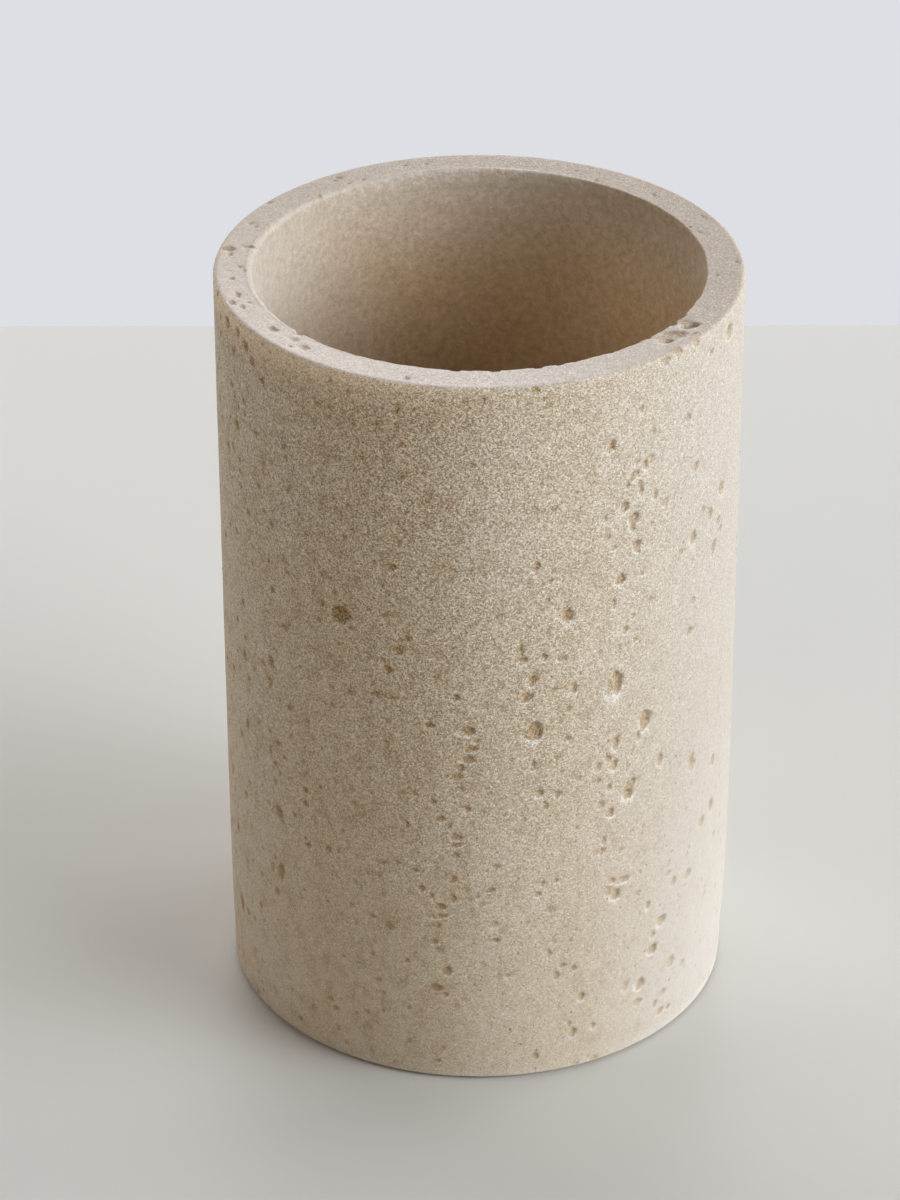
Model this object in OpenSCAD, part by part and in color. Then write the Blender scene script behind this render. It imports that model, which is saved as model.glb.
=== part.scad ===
/* [Cup] */
// Outside diameter of the cup
cup_d = 75; // [60:0.5:100]
// Height of the rim above the table
cup_h = 114.5; // [85:0.5:160]
// Thickness of the wall
wall_t = 5.5; // [4:0.1:8]
// Thickness of the floor between the cavity and the pad's recess
floor_t = 7.5; // [5:0.5:14]

/* [Edges] */
// Height over which the wall draws in towards the foot
draw_h = 31; // [16:1:50]
// How far the wall has drawn in at the foot
draw_in = 0.8; // [0.3:0.1:2.5]
// Radius of the rim's soft outer edge
rim_outer_r = 1.3; // [0.5:0.1:2]
// Radius of the foot's edge
foot_r = 0.6; // [0.3:0.1:1.5]
// Radius where the cavity's wall runs into its floor
floor_r = 4; // [1:0.5:8]

/* [Base pad] */
// Width of the ring that the foot leaves round the pad's recess
foot_w = 5.2; // [3:0.1:12]
// Thickness of the foam pad
pad_t = 1; // [0.8:0.1:2]
// Thickness of the adhesive film that holds the pad
film_t = 0.15; // [0.1:0.05:0.3]
// How far the film stays back from the pad's edge
film_back = 0.5; // [0.2:0.1:2]
// How far the pad stands out below the foot
stand_off = 0.35; // [0.2:0.05:0.6]
// Gap round the pad in its recess
pad_gap = 0.5; // [0.3:0.1:1]
// Radius where the recess meets its ceiling
recess_r = 0.3; // [0.1:0.05:0.4]

/* [Pits] */
// Width of the widest pit on the outside
pit_w = 3.2; // [2:0.1:5]
// Depth of the deepest pit on the outside
pit_deep = 1.2; // [0.5:0.1:1.6]
// Width of the widest hollow in the rim
chip_w = 2.6; // [1.5:0.1:3.5]
// Depth of the deepest hollow in the rim
chip_deep = 0.8; // [0.3:0.1:1.2]

/* [Hidden] */

// Surface finish of curves
$fn = 180;
// Finish of the long arc, whose circle is far larger than the cup
long_arc_fn = 1440;
// Finish of the pits
pit_fn = 36;
// Overrun of every cut past the face that it starts from
over = 1;

// Radii of the cup, and heights from the table
outer_r = cup_d / 2;
cavity_r = outer_r - wall_t;
foot_z = stand_off;
recess_z = film_t + pad_t;
floor_z = recess_z + floor_t;
recess_wall_r = outer_r - draw_in - foot_w;
pad_r = recess_wall_r - pad_gap;
film_r = pad_r - film_back;

// The long arc is tangent to the upright wall at the height draw_z
draw_z = foot_z + draw_h;
long_r = (pow(draw_h, 2) + pow(draw_in, 2)) / (2 * draw_in);
long_x = outer_r - long_r;

// The foot's edge touches the long arc and the underside
foot_edge_z = foot_z + foot_r;
foot_edge_x = long_x + sqrt(pow(long_r - foot_r, 2) - pow(draw_z - foot_edge_z, 2));
foot_touch_z = foot_edge_z - foot_r * (draw_z - foot_edge_z) / (long_r - foot_r);

// Pits that show most on the front: [turn from the front to the right in degrees,
// height as a share of the rim's height, shares of the widest pit's width and of the deepest's depth]
pit_shares = [
    [-70, 0.13, 0.75, 0.60],
    [-50, 0.335, 0.60, 0.40],
    [-50, 0.245, 0.70, 0.40],
    [-31, 0.665, 0.85, 0.35],
    [-9, 0.27, 0.50, 0.50],
    [-9, 0.13, 0.40, 0.40],
    [-7, 0.36, 0.55, 0.40],
    [-3, 0.53, 0.65, 0.50],
    [10, 0.575, 0.60, 0.55],
    [12, 0.525, 0.80, 0.90],
    [12, 0.755, 0.50, 0.60],
    [18, 0.685, 0.50, 0.65],
    [28, 0.90, 0.50, 0.55],
    [30, 0.57, 1.00, 1.00],
    [30, 0.455, 0.55, 0.55],
    [31, 0.485, 0.60, 0.50],
    [31, 0.715, 0.45, 0.65],
    [33, 0.275, 0.80, 0.70],
    [34, 0.795, 0.55, 0.85],
    [34, 0.405, 0.70, 0.60],
    [36, 0.855, 0.50, 0.45],
    [37, 0.47, 0.55, 0.45],
    [38, 0.505, 0.75, 0.55],
    [42, 0.15, 0.55, 0.70],
    [43, 0.435, 0.50, 0.50],
    [45, 0.185, 0.50, 0.60],
    [55, 0.40, 0.60, 0.50]
];

// Hollows in the rim: [turn from the front to the right in degrees, place across the rim as a
// share of the wall, shares of the widest hollow's width and of the deepest's depth]
chip_shares = [
    [-101, 0.75, 0.55, 0.45],
    [-58, 0.40, 0.60, 0.45],
    [50, 0.40, 0.95, 0.90],
    [54, 0, 0.80, 0.60],
    [58, 0.50, 1.00, 1.00]
];

// What a profile's upper right corner loses when it is rounded to radius r
module corner(r) {
    difference() {
        translate([-r, -r])
            square(r + over);
        translate([-r, -r])
            circle(r);
    }
}

// Half section of the cup before its edges are rounded
module cup_block_profile() {
    translate([0, draw_z])
        square([outer_r, cup_h - draw_z]);
    intersection() {
        translate([0, foot_z])
            square([outer_r, draw_h]);
        translate([long_x, draw_z])
            circle(long_r, $fn = long_arc_fn);
    }
}

// What the foot loses when its edge is rounded
module foot_corner() {
    difference() {
        translate([foot_edge_x, foot_z - over])
            square([foot_r + over, foot_touch_z - foot_z + over]);
        translate([foot_edge_x, foot_edge_z])
            circle(foot_r);
    }
}

// Half section of the cavity
module cavity_profile() {
    difference() {
        translate([0, floor_z])
            square([cavity_r, cup_h - floor_z + over]);
        translate([cavity_r, floor_z])
            mirror([0, 1])
                corner(floor_r);
    }
}

// Half section of the shallow recess in the underside
module recess_profile() {
    difference() {
        translate([0, foot_z - over])
            square([recess_wall_r, recess_z - foot_z + over]);
        translate([recess_wall_r, recess_z])
            corner(recess_r);
    }
}

// Half section of the finished cup
module cup_profile() {
    difference() {
        cup_block_profile();
        foot_corner();
        translate([outer_r, cup_h])
            corner(rim_outer_r);
        cavity_profile();
        recess_profile();
    }
}

// Radius of the ball that leaves a pit of width w and depth deep in a face
function ball_r(w, deep) = (pow(w / 2, 2) + pow(deep, 2)) / (2 * deep);

// Radius of the outside wall at height z
function wall_r(z) =
    z > draw_z ? outer_r : long_x + sqrt(pow(long_r, 2) - pow(draw_z - z, 2));

// Balls that press the pits into the outside wall
module pit_balls() {
    for (pit = pit_shares) {
        z = pit[1] * cup_h;
        deep = pit[3] * pit_deep;
        r = ball_r(pit[2] * pit_w, deep);
        rotate([0, 0, pit[0]])
            translate([0, -(wall_r(z) + r - deep), z])
                sphere(r, $fn = pit_fn);
    }
}

// Balls that press the hollows into the rim, with their poles turned level
module chip_balls() {
    for (chip = chip_shares) {
        deep = chip[3] * chip_deep;
        r = ball_r(chip[2] * chip_w, deep);
        rotate([0, 0, chip[0]])
            translate([0, -(cavity_r + chip[1] * wall_t), cup_h + r - deep])
                rotate([0, 90, 0])
                    sphere(r, $fn = pit_fn);
    }
}

// Cast cup: one shell of sand and resin
module tumbler_body() {
    color([0.75, 0.70, 0.62])
        difference() {
            rotate_extrude()
                cup_profile();
            pit_balls();
            chip_balls();
        }
}

// Double-sided film between the recess and the pad
module pad_adhesive() {
    color([0.90, 0.88, 0.80])
        translate([0, 0, pad_t])
            cylinder(h = film_t, r = film_r);
}

// Foam disc that the cup stands on
module base_pad() {
    color([0.20, 0.19, 0.18])
        cylinder(h = pad_t, r = pad_r);
}

tumbler_body();
pad_adhesive();
base_pad();
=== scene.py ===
"""Bathroom tumbler: a thick cup cast in sand and resin, standing on a thin foam pad.

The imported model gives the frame. Here the cup gets its air pits, sanded rim and
chipped inner edge, the pad its die-cut edge and pores, and each its finish.
Lengths are written in millimetres and turned into metres where a mesh is made.
"""
import logging
import math
import random
from dataclasses import dataclass
from enum import Enum
from functools import reduce
from typing import Any, NamedTuple, Sequence

import bmesh
import bpy
import numpy as np
from mathutils import Matrix, Vector
from mathutils.bvhtree import BVHTree


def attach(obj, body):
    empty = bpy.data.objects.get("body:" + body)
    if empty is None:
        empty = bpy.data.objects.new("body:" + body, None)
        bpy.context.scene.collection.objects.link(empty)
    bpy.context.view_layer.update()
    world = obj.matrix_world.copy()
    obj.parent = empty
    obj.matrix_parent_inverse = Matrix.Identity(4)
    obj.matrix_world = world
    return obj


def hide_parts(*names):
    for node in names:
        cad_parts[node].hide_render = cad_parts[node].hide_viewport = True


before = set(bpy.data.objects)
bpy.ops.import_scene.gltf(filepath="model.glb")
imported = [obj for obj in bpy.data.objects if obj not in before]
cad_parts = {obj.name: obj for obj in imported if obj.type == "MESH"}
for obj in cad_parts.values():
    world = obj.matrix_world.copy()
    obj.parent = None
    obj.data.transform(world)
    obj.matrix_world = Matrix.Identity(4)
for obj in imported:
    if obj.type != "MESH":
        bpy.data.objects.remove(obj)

LOG = logging.getLogger("tumbler")
MM = 0.001
FULL_TURN = 2 * math.pi
UP = Vector((0, 0, 1))
CUP_TALL = 114.5
SEED_END = 10**6

Socket = bpy.types.NodeSocket
Node = bpy.types.Node
Tree = bpy.types.NodeTree
Material = bpy.types.Material
Solid = bpy.types.Object
Pair = tuple[float, float]
Triple = tuple[float, float, float]
Screen = tuple[int, int, int]


class Form(Enum):
    """Shapes that trapped air and lost sand leave, each with the two powers of its section."""

    BOWL = (2, 0.9)
    SHEER = (4, 0.7)
    DISH = (2, 2)
    GROOVE = (1, 1)


SHEER, DISH, GROOVE = Form.SHEER, Form.DISH, Form.GROOVE


class Pit(NamedTuple):
    """One hollow: its place in the 900 x 1200 picture, its size on the cup in millimetres.

    lean turns its upper end to the right in degrees, bend bows it sideways.
    """

    x: float
    y: float
    wide: float
    tall: float
    deep: float
    lean: float = 0.0
    bend: float = 0.0
    form: Form = Form.BOWL


def pits(*rows: tuple[Any, ...]) -> tuple[Pit, ...]:
    """Turn rows that hold a pit's values in order into pits."""
    return tuple(Pit(*row) for row in rows)


# Pits of the outside wall that the picture shows, from the rim down
WALL_PITS = pits(
    (227, 323, 1.6, 2.2, 0.4, -20), (237, 333, 1.3, 1.6, 0.35, -20), (245, 347, 1.4, 2.4, 0.4, -30),
    (233, 352, 1.2, 1.5, 0.3, -15), (252, 362, 1.1, 1.6, 0.3, -25), (262, 381, 1.0, 1.5, 0.25, -20),
    (231, 384, 1.5, 1.4, 0.3), (243, 401, 1.2, 1.3, 0.25), (236, 423, 1.4, 1.4, 0.3),
    (255, 434, 1.1, 1.2, 0.2), (228, 447, 1.5, 1.5, 0.25), (283, 447, 1.1, 1.2, 0.3),
    (262, 462, 1.0, 1.3, 0.2), (287, 490, 1.0, 1.2, 0.3), (240, 486, 1.2, 1.3, 0.2),
    (396, 412, 0.9, 1.2, 0.3), (402, 445, 1.2, 1.0, 0.3), (402, 478, 0.9, 1.1, 0.3),
    (406, 513, 0.9, 1.0, 0.25), (398, 542, 1.0, 1.1, 0.25), (473, 465, 0.9, 1.0, 0.25),
    (534, 509, 0.9, 0.9, 0.2), (555, 509, 0.9, 0.9, 0.2), (551, 486, 0.8, 0.9, 0.2),
    (536, 391, 1.5, 1.2, 0.35), (543, 400, 0.9, 0.9, 0.25), (689, 418, 1.6, 1.2, 0.33),
    (642, 409, 0.9, 1.0, 0.33), (654, 431, 1.2, 0.9, 0.33), (611, 447, 1.1, 2.0, 0.65, 25),
    (618, 457, 0.9, 0.9, 0.26), (651, 459, 1.6, 1.3, 0.59), (646, 465, 1.0, 1.4, 0.59),
    (638, 462, 1.1, 1.3, 0.26, 0, 0, DISH), (635, 476, 1.9, 1.0, 0.52, -35), (641, 488, 0.9, 2.6, 0.52, -8),
    (628, 486, 0.8, 1.0, 0.39), (656, 495, 1.1, 1.3, 0.52), (666, 502, 1.4, 1.3, 0.33),
    (625, 508, 1.5, 1.7, 0.59, 20), (634, 519, 1.7, 1.6, 0.75, 0, 0, SHEER), (633, 527, 1.3, 1.4, 0.45),
    (605, 520, 0.8, 1.0, 0.33), (608, 539, 1.0, 1.3, 0.39), (614, 549, 1.2, 0.8, 0.39),
    (637, 546, 1.4, 1.9, 0.52), (652, 524, 1.0, 1.2, 0.2, 0, 0, DISH), (696, 467, 1.7, 1.5, 0.45),
    (722, 488, 2.0, 2.2, 0.52), (711, 514, 1.8, 1.9, 0.52, 25), (704, 510, 1.1, 1.3, 0.33),
    (719, 521, 1.4, 1.3, 0.39), (721, 529, 1.4, 1.2, 0.39), (694, 538, 1.6, 2.0, 0.59, 30),
    (682, 552, 1.2, 0.9, 0.26), (714, 547, 1.4, 2.4, 0.52, 20), (621, 580, 1.4, 1.7, 0.55, 0, 0, SHEER),
    (642, 574, 1.2, 1.0, 0.26, 0, 0, DISH), (651, 600, 0.9, 0.9, 0.29), (614, 605, 0.7, 1.9, 0.36),
    (633, 616, 0.9, 0.9, 0.36), (694, 600, 1.5, 1.2, 0.39), (690, 632, 1.4, 1.3, 0.45),
    (625, 630, 1.0, 1.4, 0.39), (618, 648, 1.1, 1.2, 0.22), (636, 640, 0.8, 0.9, 0.33),
    (536, 567, 1.0, 2.2, 0.3), (550, 582, 0.9, 1.0, 0.25), (547, 601, 0.9, 1.0, 0.25),
    (567, 616, 1.7, 1.6, 0.65, 0, 0, SHEER), (519, 613, 0.8, 0.9, 0.22), (495, 617, 0.8, 0.9, 0.22),
    (470, 571, 0.9, 0.9, 0.22), (431, 600, 0.9, 0.9, 0.22), (391, 567, 1.4, 1.1, 0.38),
    (381, 586, 1.1, 1.2, 0.22, 0, 0, DISH), (325, 576, 1.4, 2.4, 0.2, -40, 0, DISH),
    (340, 615, 2.9, 2.5, 0.85, 0, 0, SHEER), (350, 628, 1.0, 1.1, 0.22), (284, 628, 1.3, 1.3, 0.28, -30),
    (271, 663, 1.2, 2.1, 0.38, -30), (244, 655, 1.5, 1.7, 0.28, -20), (270, 683, 1.1, 1.6, 0.25),
    (407, 640, 1.1, 1.4, 0.28), (398, 651, 1.6, 1.3, 0.38), (387, 670, 1.7, 1.4, 0.32),
    (383, 661, 1.4, 1.1, 0.18, 0, 0, DISH), (410, 677, 1.1, 0.9, 0.25), (375, 694, 1.5, 1.1, 0.3),
    (394, 699, 1.2, 0.9, 0.25), (372, 684, 0.9, 0.9, 0.22), (308, 721, 0.9, 1.0, 0.2),
    (247, 724, 1.4, 2.2, 0.3, 15), (275, 782, 0.9, 1.0, 0.22), (246, 795, 1.3, 1.5, 0.25),
    (279, 813, 1.8, 2.7, 0.36, -25), (268, 803, 1.3, 1.2, 0.2, 0, 0, DISH),
    (281, 872, 1.6, 3.4, 0.34, 0, 0.15), (273, 868, 1.2, 2.2, 0.18, 0, 0, DISH), (277, 892, 1.1, 1.5, 0.25),
    (242, 903, 1.7, 2.9, 0.45, -10), (248, 912, 1.4, 1.3, 0.28), (404, 793, 1.0, 0.9, 0.2),
    (414, 794, 1.0, 0.9, 0.2), (385, 743, 1.0, 0.9, 0.18), (312, 740, 0.9, 0.9, 0.16),
    (383, 863, 1.2, 0.9, 0.2), (397, 863, 1.0, 0.9, 0.22), (372, 916, 1.5, 0.8, 0.22),
    (390, 927, 1.8, 1.3, 0.22), (351, 905, 1.1, 1.0, 0.2), (378, 980, 1.2, 0.9, 0.22),
    (383, 993, 1.1, 0.8, 0.2), (331, 999, 1.2, 0.9, 0.22), (406, 961, 0.9, 1.1, 0.25),
    (409, 1008, 1.0, 0.9, 0.22), (437, 1061, 1.2, 0.9, 0.22), (442, 1049, 1.0, 0.9, 0.2),
    (521, 651, 0.9, 1.7, 0.4, 0, 0.5), (523, 661, 1.5, 1.2, 0.5), (544, 657, 1.2, 1.3, 0.45),
    (562, 659, 1.5, 1.0, 0.35), (580, 674, 0.8, 1.0, 0.22), (532, 681, 1.5, 1.7, 0.55, 20),
    (526, 698, 2.2, 1.4, 0.5, -15), (555, 690, 1.2, 0.8, 0.35), (574, 689, 1.0, 1.9, 0.42),
    (568, 709, 1.0, 1.0, 0.22), (560, 722, 0.8, 0.9, 0.25), (567, 739, 0.8, 1.3, 0.35),
    (534, 732, 2.3, 2.9, 0.6, 10, 0, SHEER), (526, 735, 1.6, 2.0, 0.3, 0, 0, DISH),
    (556, 758, 0.8, 1.1, 0.22), (533, 765, 0.9, 2.0, 0.35), (510, 762, 1.4, 1.6, 0.14, 0, 0, DISH),
    (539, 794, 1.2, 1.3, 0.45), (545, 806, 0.9, 1.7, 0.35, -15), (557, 795, 1.1, 1.1, 0.4),
    (524, 820, 0.9, 0.9, 0.25), (579, 779, 0.9, 1.1, 0.2), (617, 684, 1.5, 4.0, 0.75, -4, -0.35, SHEER),
    (610, 687, 2.2, 3.4, 0.32, 0, 0, DISH), (645, 720, 1.8, 3.1, 0.75, 12, 0, SHEER),
    (638, 737, 0.9, 1.7, 0.42, 12), (632, 751, 0.6, 2.6, 0.28, 25, 0, GROOVE),
    (627, 766, 0.5, 2.4, 0.24, 3, 0, GROOVE), (616, 743, 1.2, 2.1, 0.5, 10), (608, 759, 1.2, 1.2, 0.5),
    (614, 765, 1.3, 2.1, 0.58, 15), (598, 768, 1.2, 1.6, 0.3), (597, 782, 1.5, 1.0, 0.3),
    (609, 788, 1.0, 1.5, 0.42), (628, 791, 2.4, 3.3, 0.36, 0, 0, DISH), (633, 782, 1.1, 1.3, 0.62),
    (627, 795, 1.7, 1.4, 0.8, 0, 0, SHEER), (602, 805, 1.4, 1.4, 0.35), (610, 813, 1.4, 1.5, 0.48),
    (604, 841, 0.9, 1.4, 0.35), (601, 852, 1.4, 1.1, 0.42), (621, 850, 1.0, 1.3, 0.26),
    (660, 760, 1.3, 2.0, 0.46), (692, 762, 1.7, 3.1, 0.42), (713, 760, 1.6, 1.9, 0.3),
    (711, 805, 1.9, 1.9, 0.38, 25), (702, 821, 1.8, 1.7, 0.3, 25), (456, 698, 1.3, 1.3, 0.42),
    (430, 726, 1.6, 1.0, 0.36), (467, 732, 2.2, 1.4, 0.65), (476, 741, 1.3, 0.8, 0.24),
    (471, 750, 1.8, 1.0, 0.36), (468, 760, 1.8, 1.3, 0.6), (460, 768, 1.2, 1.1, 0.4),
    (457, 777, 2.1, 1.0, 0.28), (461, 790, 1.1, 0.9, 0.22), (467, 810, 1.2, 1.3, 0.38),
    (440, 819, 1.4, 1.2, 0.38), (449, 827, 1.0, 1.0, 0.3), (433, 802, 1.0, 0.9, 0.3),
    (407, 825, 0.7, 1.3, 0.3), (410, 843, 2.2, 0.6, 0.28, -20, 0, GROOVE), (415, 871, 1.0, 0.9, 0.3),
    (458, 838, 1.8, 1.2, 0.38), (455, 846, 3.1, 0.8, 0.55, -14, 0, GROOVE), (455, 856, 1.3, 1.0, 0.35),
    (451, 878, 1.8, 1.9, 0.22, 0, 0, DISH), (452, 881, 1.3, 0.9, 0.28), (421, 889, 1.2, 1.3, 0.4),
    (431, 896, 1.0, 1.0, 0.34), (453, 899, 1.1, 1.4, 0.32), (440, 907, 1.8, 1.3, 0.46),
    (438, 917, 3.1, 0.8, 0.55, -13, 0, GROOVE), (437, 926, 1.6, 0.8, 0.3), (434, 942, 1.2, 1.0, 0.3),
    (440, 951, 1.5, 1.6, 0.2, 0, 0, DISH), (447, 971, 1.5, 1.6, 0.42), (436, 988, 1.6, 1.3, 0.36),
    (445, 995, 1.0, 1.0, 0.3), (496, 867, 0.9, 1.0, 0.22), (490, 891, 1.5, 0.8, 0.36, -20),
    (478, 897, 0.8, 0.7, 0.3), (494, 925, 1.8, 1.6, 0.2, 0, 0, DISH), (495, 941, 1.3, 0.8, 0.34),
    (507, 976, 1.1, 0.8, 0.28), (528, 923, 0.9, 0.9, 0.25), (542, 884, 0.9, 1.0, 0.28),
    (538, 895, 1.0, 1.1, 0.4), (551, 910, 1.4, 1.3, 0.24), (556, 881, 0.9, 1.0, 0.28),
    (554, 942, 0.9, 1.0, 0.26), (549, 954, 0.9, 1.1, 0.34), (556, 976, 1.1, 1.3, 0.35),
    (535, 1057, 1.2, 1.3, 0.32), (612, 881, 1.2, 1.2, 0.43), (623, 880, 2.2, 1.1, 0.58, -8),
    (615, 894, 1.7, 2.1, 0.6, 35), (608, 892, 1.7, 2.2, 0.22, 0, 0, DISH), (637, 894, 1.0, 0.9, 0.18),
    (669, 863, 0.7, 1.7, 0.22, 25, 0, GROOVE), (669, 873, 1.0, 0.9, 0.24), (674, 882, 1.2, 1.4, 0.3),
    (688, 874, 1.9, 1.7, 0.28), (648, 905, 1.0, 1.5, 0.43, 30), (661, 921, 1.9, 1.7, 0.55),
    (653, 935, 1.2, 1.2, 0.35), (652, 950, 1.8, 1.5, 0.65, 0, 0, SHEER), (671, 961, 1.8, 1.9, 0.28),
    (682, 963, 1.6, 1.3, 0.22), (562, 966, 1.2, 0.9, 0.36), (573, 969, 1.1, 1.3, 0.4),
    (570, 940, 0.9, 0.9, 0.24), (581, 997, 1.2, 1.5, 0.48), (640, 984, 1.6, 2.0, 0.58, 30),
    (625, 986, 1.7, 2.1, 0.2, 0, 0, DISH), (638, 1002, 1.7, 1.2, 0.33), (662, 993, 1.7, 1.2, 0.26),
    (655, 1004, 1.0, 1.3, 0.34), (660, 1011, 1.7, 1.2, 0.36), (668, 1007, 1.3, 0.9, 0.33),
    (558, 1006, 0.6, 1.5, 0.22, 20, 0, GROOVE), (572, 1033, 1.2, 1.6, 0.44), (592, 1026, 1.0, 1.3, 0.36),
    (569, 1024, 0.9, 1.2, 0.24), (594, 1059, 1.5, 1.0, 0.28), (575, 1064, 1.3, 0.9, 0.22),
    (730, 332, 2.4, 2.3, 0.6), (739, 292, 2.0, 1.4, 0.45), (680, 351, 1.7, 1.5, 0.5),
    (698, 341, 1.5, 1.8, 0.3, 25), (667, 361, 1.4, 1.3, 0.34), (712, 352, 1.5, 1.4, 0.29, 0, 0, DISH),
)

# Hollows of the rim that the picture shows: wide runs along the rim, tall across it
RIM_PITS = pits(
    (689, 325, 2.7, 1.7, 0.85, 33, 0, SHEER), (684, 322, 3.2, 2.2, 0.3, 33, 0, DISH),
    (666, 340, 2.2, 1.6, 0.8, 33), (671, 335, 4.4, 2.3, 0.5, 33, 0, SHEER), (692, 334, 1.0, 0.8, 0.3),
    (695, 333, 0.8, 0.7, 0.25), (228, 248, 1.5, 2.2, 0.45), (230, 254, 1.0, 0.9, 0.35),
    (249, 246, 0.9, 2.3, 0.32), (239, 266, 1.0, 0.8, 0.25), (244, 270, 1.0, 0.7, 0.22),
    (232, 278, 1.0, 0.8, 0.25), (237, 294, 1.5, 1.0, 0.4), (231, 302, 1.1, 0.9, 0.35),
    (248, 302, 0.9, 1.0, 0.15), (242, 307, 1.2, 0.8, 0.25), (271, 328, 1.8, 1.4, 0.45),
    (276, 330, 1.0, 1.0, 0.25), (293, 339, 1.4, 1.1, 0.22), (303, 347, 1.6, 1.2, 0.3),
    (290, 346, 0.9, 0.8, 0.2), (406, 378, 0.9, 0.9, 0.25), (537, 390, 1.2, 0.8, 0.25),
    (339, 177, 1.2, 1.0, 0.3), (335, 180, 0.9, 0.8, 0.25), (349, 183, 0.9, 0.6, 0.22),
    (364, 179, 0.9, 0.6, 0.2), (320, 195, 1.0, 0.9, 0.25), (405, 165, 1.0, 0.9, 0.25),
    (426, 163, 0.9, 0.8, 0.22), (577, 170, 1.0, 0.9, 0.25), (596, 180, 1.1, 0.8, 0.25),
    (655, 195, 1.0, 0.8, 0.25), (704, 217, 1.8, 0.7, 0.26), (701, 232, 1.0, 0.8, 0.22),
    (691, 227, 0.9, 0.7, 0.2), (251, 223, 0.9, 0.8, 0.22), (256, 226, 0.9, 0.7, 0.2),
    (270, 202, 1.0, 0.8, 0.22), (717, 275, 0.9, 0.7, 0.2), (737, 262, 0.8, 0.8, 0.2),
)

# Chips of the rim's inner edge: wide runs along the edge, tall is how far a chip reaches
EDGE_CHIPS = pits(
    (295, 334, 1.9, 1.7, 1.25, 0, 0, SHEER), (312, 343, 1.0, 0.6, 0.35), (338, 352, 0.8, 0.5, 0.25),
    (372, 362, 0.9, 0.5, 0.3), (455, 371, 1.5, 1.0, 0.85), (494, 371, 1.7, 1.0, 0.9),
    (538, 367, 1.2, 0.8, 0.65), (560, 365, 1.1, 0.8, 0.75), (575, 361, 0.8, 0.5, 0.25),
    (611, 352, 1.0, 0.5, 0.3), (651, 338, 1.1, 0.7, 0.45), (675, 324, 1.8, 1.0, 0.75),
    (684, 316, 2.0, 0.8, 0.45),
)

# Places in the 900 x 1200 picture of the dark mineral grains that it shows
SPECKS = (
    (373, 513), (393, 605), (374, 641), (408, 639), (453, 623), (453, 657), (662, 459), (655, 475),
    (681, 498), (644, 590), (485, 509), (502, 638), (498, 680), (688, 693), (578, 492), (591, 727),
    (637, 817), (639, 852), (600, 865), (654, 880), (393, 698), (300, 793), (314, 751), (380, 895),
    (484, 959), (534, 1075), (536, 1050), (721, 348), (741, 331), (445, 394), (394, 370), (425, 376),
    (247, 295), (259, 309), (573, 563), (577, 561), (477, 838), (505, 783), (400, 688), (392, 697),
    (313, 695), (389, 595), (448, 684), (571, 1012), (626, 523),
)


@dataclass(frozen=True)
class StudioCamera:
    """Camera that takes the tumbler as the picture does, in a frame of 900 x 1200."""

    place: Vector = Vector((-0.00344, -0.57294, 0.39533))
    yaw: float = -0.0014
    dip: float = 0.5296
    roll: float = 0.0022
    lens: float = 135.87
    sensor: float = 36.0
    frame_wide: int = 900
    frame_tall: int = 1200
    clip_near: float = 0.01
    clip_far: float = 20.0

    def axes(self) -> tuple[Vector, Vector, Vector]:
        """Work out which way the camera looks.

        Returns:
            Unit vectors to the right, down and forward of the frame.
        """
        level = math.cos(self.dip)
        forward = Vector((
            math.sin(self.yaw) * level,
            math.cos(self.yaw) * level,
            -math.sin(self.dip),
        ))
        right = forward.cross(UP).normalized()
        down = forward.cross(right)
        cos_roll, sin_roll = math.cos(self.roll), math.sin(self.roll)
        turned_right = right * cos_roll + down * sin_roll
        turned_down = down * cos_roll - right * sin_roll
        return turned_right, turned_down, forward

    def set_up(self) -> Solid:
        """Make the camera and give it to the scene.

        Returns:
            The camera.
        """
        right, down, forward = self.axes()
        data = bpy.data.cameras.new("studio_camera")
        data.lens = self.lens
        data.sensor_width = self.sensor
        data.clip_start = self.clip_near
        data.clip_end = self.clip_far
        camera = bpy.data.objects.new("studio_camera", data)
        turn = Matrix((right, -down, -forward)).transposed()
        camera.matrix_world = Matrix.Translation(self.place) @ turn.to_4x4()
        bpy.context.scene.collection.objects.link(camera)
        bpy.context.scene.camera = camera
        return camera

    def sight(self, x: float, y: float) -> Vector:
        """Find the direction in which the camera sees a pixel.

        Args:
            x: Pixel from the frame's left edge.
            y: Pixel from the frame's top edge.

        Returns:
            Unit vector from the camera through the pixel.
        """
        right, down, forward = self.axes()
        focal = self.lens / self.sensor * self.frame_tall
        across = (x - self.frame_wide / 2) / focal
        below = (y - self.frame_tall / 2) / focal
        return (forward + right * across + down * below).normalized()


def lattice_noise(points: np.ndarray, seed: int) -> np.ndarray:
    """Smooth random values that change over about one unit of length.

    Args:
        points: Places, one row of x, y and z each.
        seed: Number that picks the pattern.

    Returns:
        One value from -1 to 1 for each place.
    """
    low = np.floor(points).astype(np.int64)
    part = points - low
    ease = part * part * (3 - 2 * part)
    total = np.zeros(len(points))
    for corner in range(8):
        step = np.array([corner & 1, corner >> 1 & 1, corner >> 2 & 1])
        cell = low + step
        code = cell[:, 0] * 73856093 ^ cell[:, 1] * 19349663 ^ cell[:, 2] * 83492791
        code = (code ^ seed * 2654435761) & 0xFFFFFFFF
        code = (code ^ code >> 15) * 2246822519 & 0xFFFFFFFF
        code = (code ^ code >> 13) * 3266489917 & 0xFFFFFFFF
        value = (code ^ code >> 16) / 0xFFFFFFFF * 2 - 1
        weight = np.prod(np.where(step == 1, ease, 1 - ease), axis=1)
        total += value * weight
    return total


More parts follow.
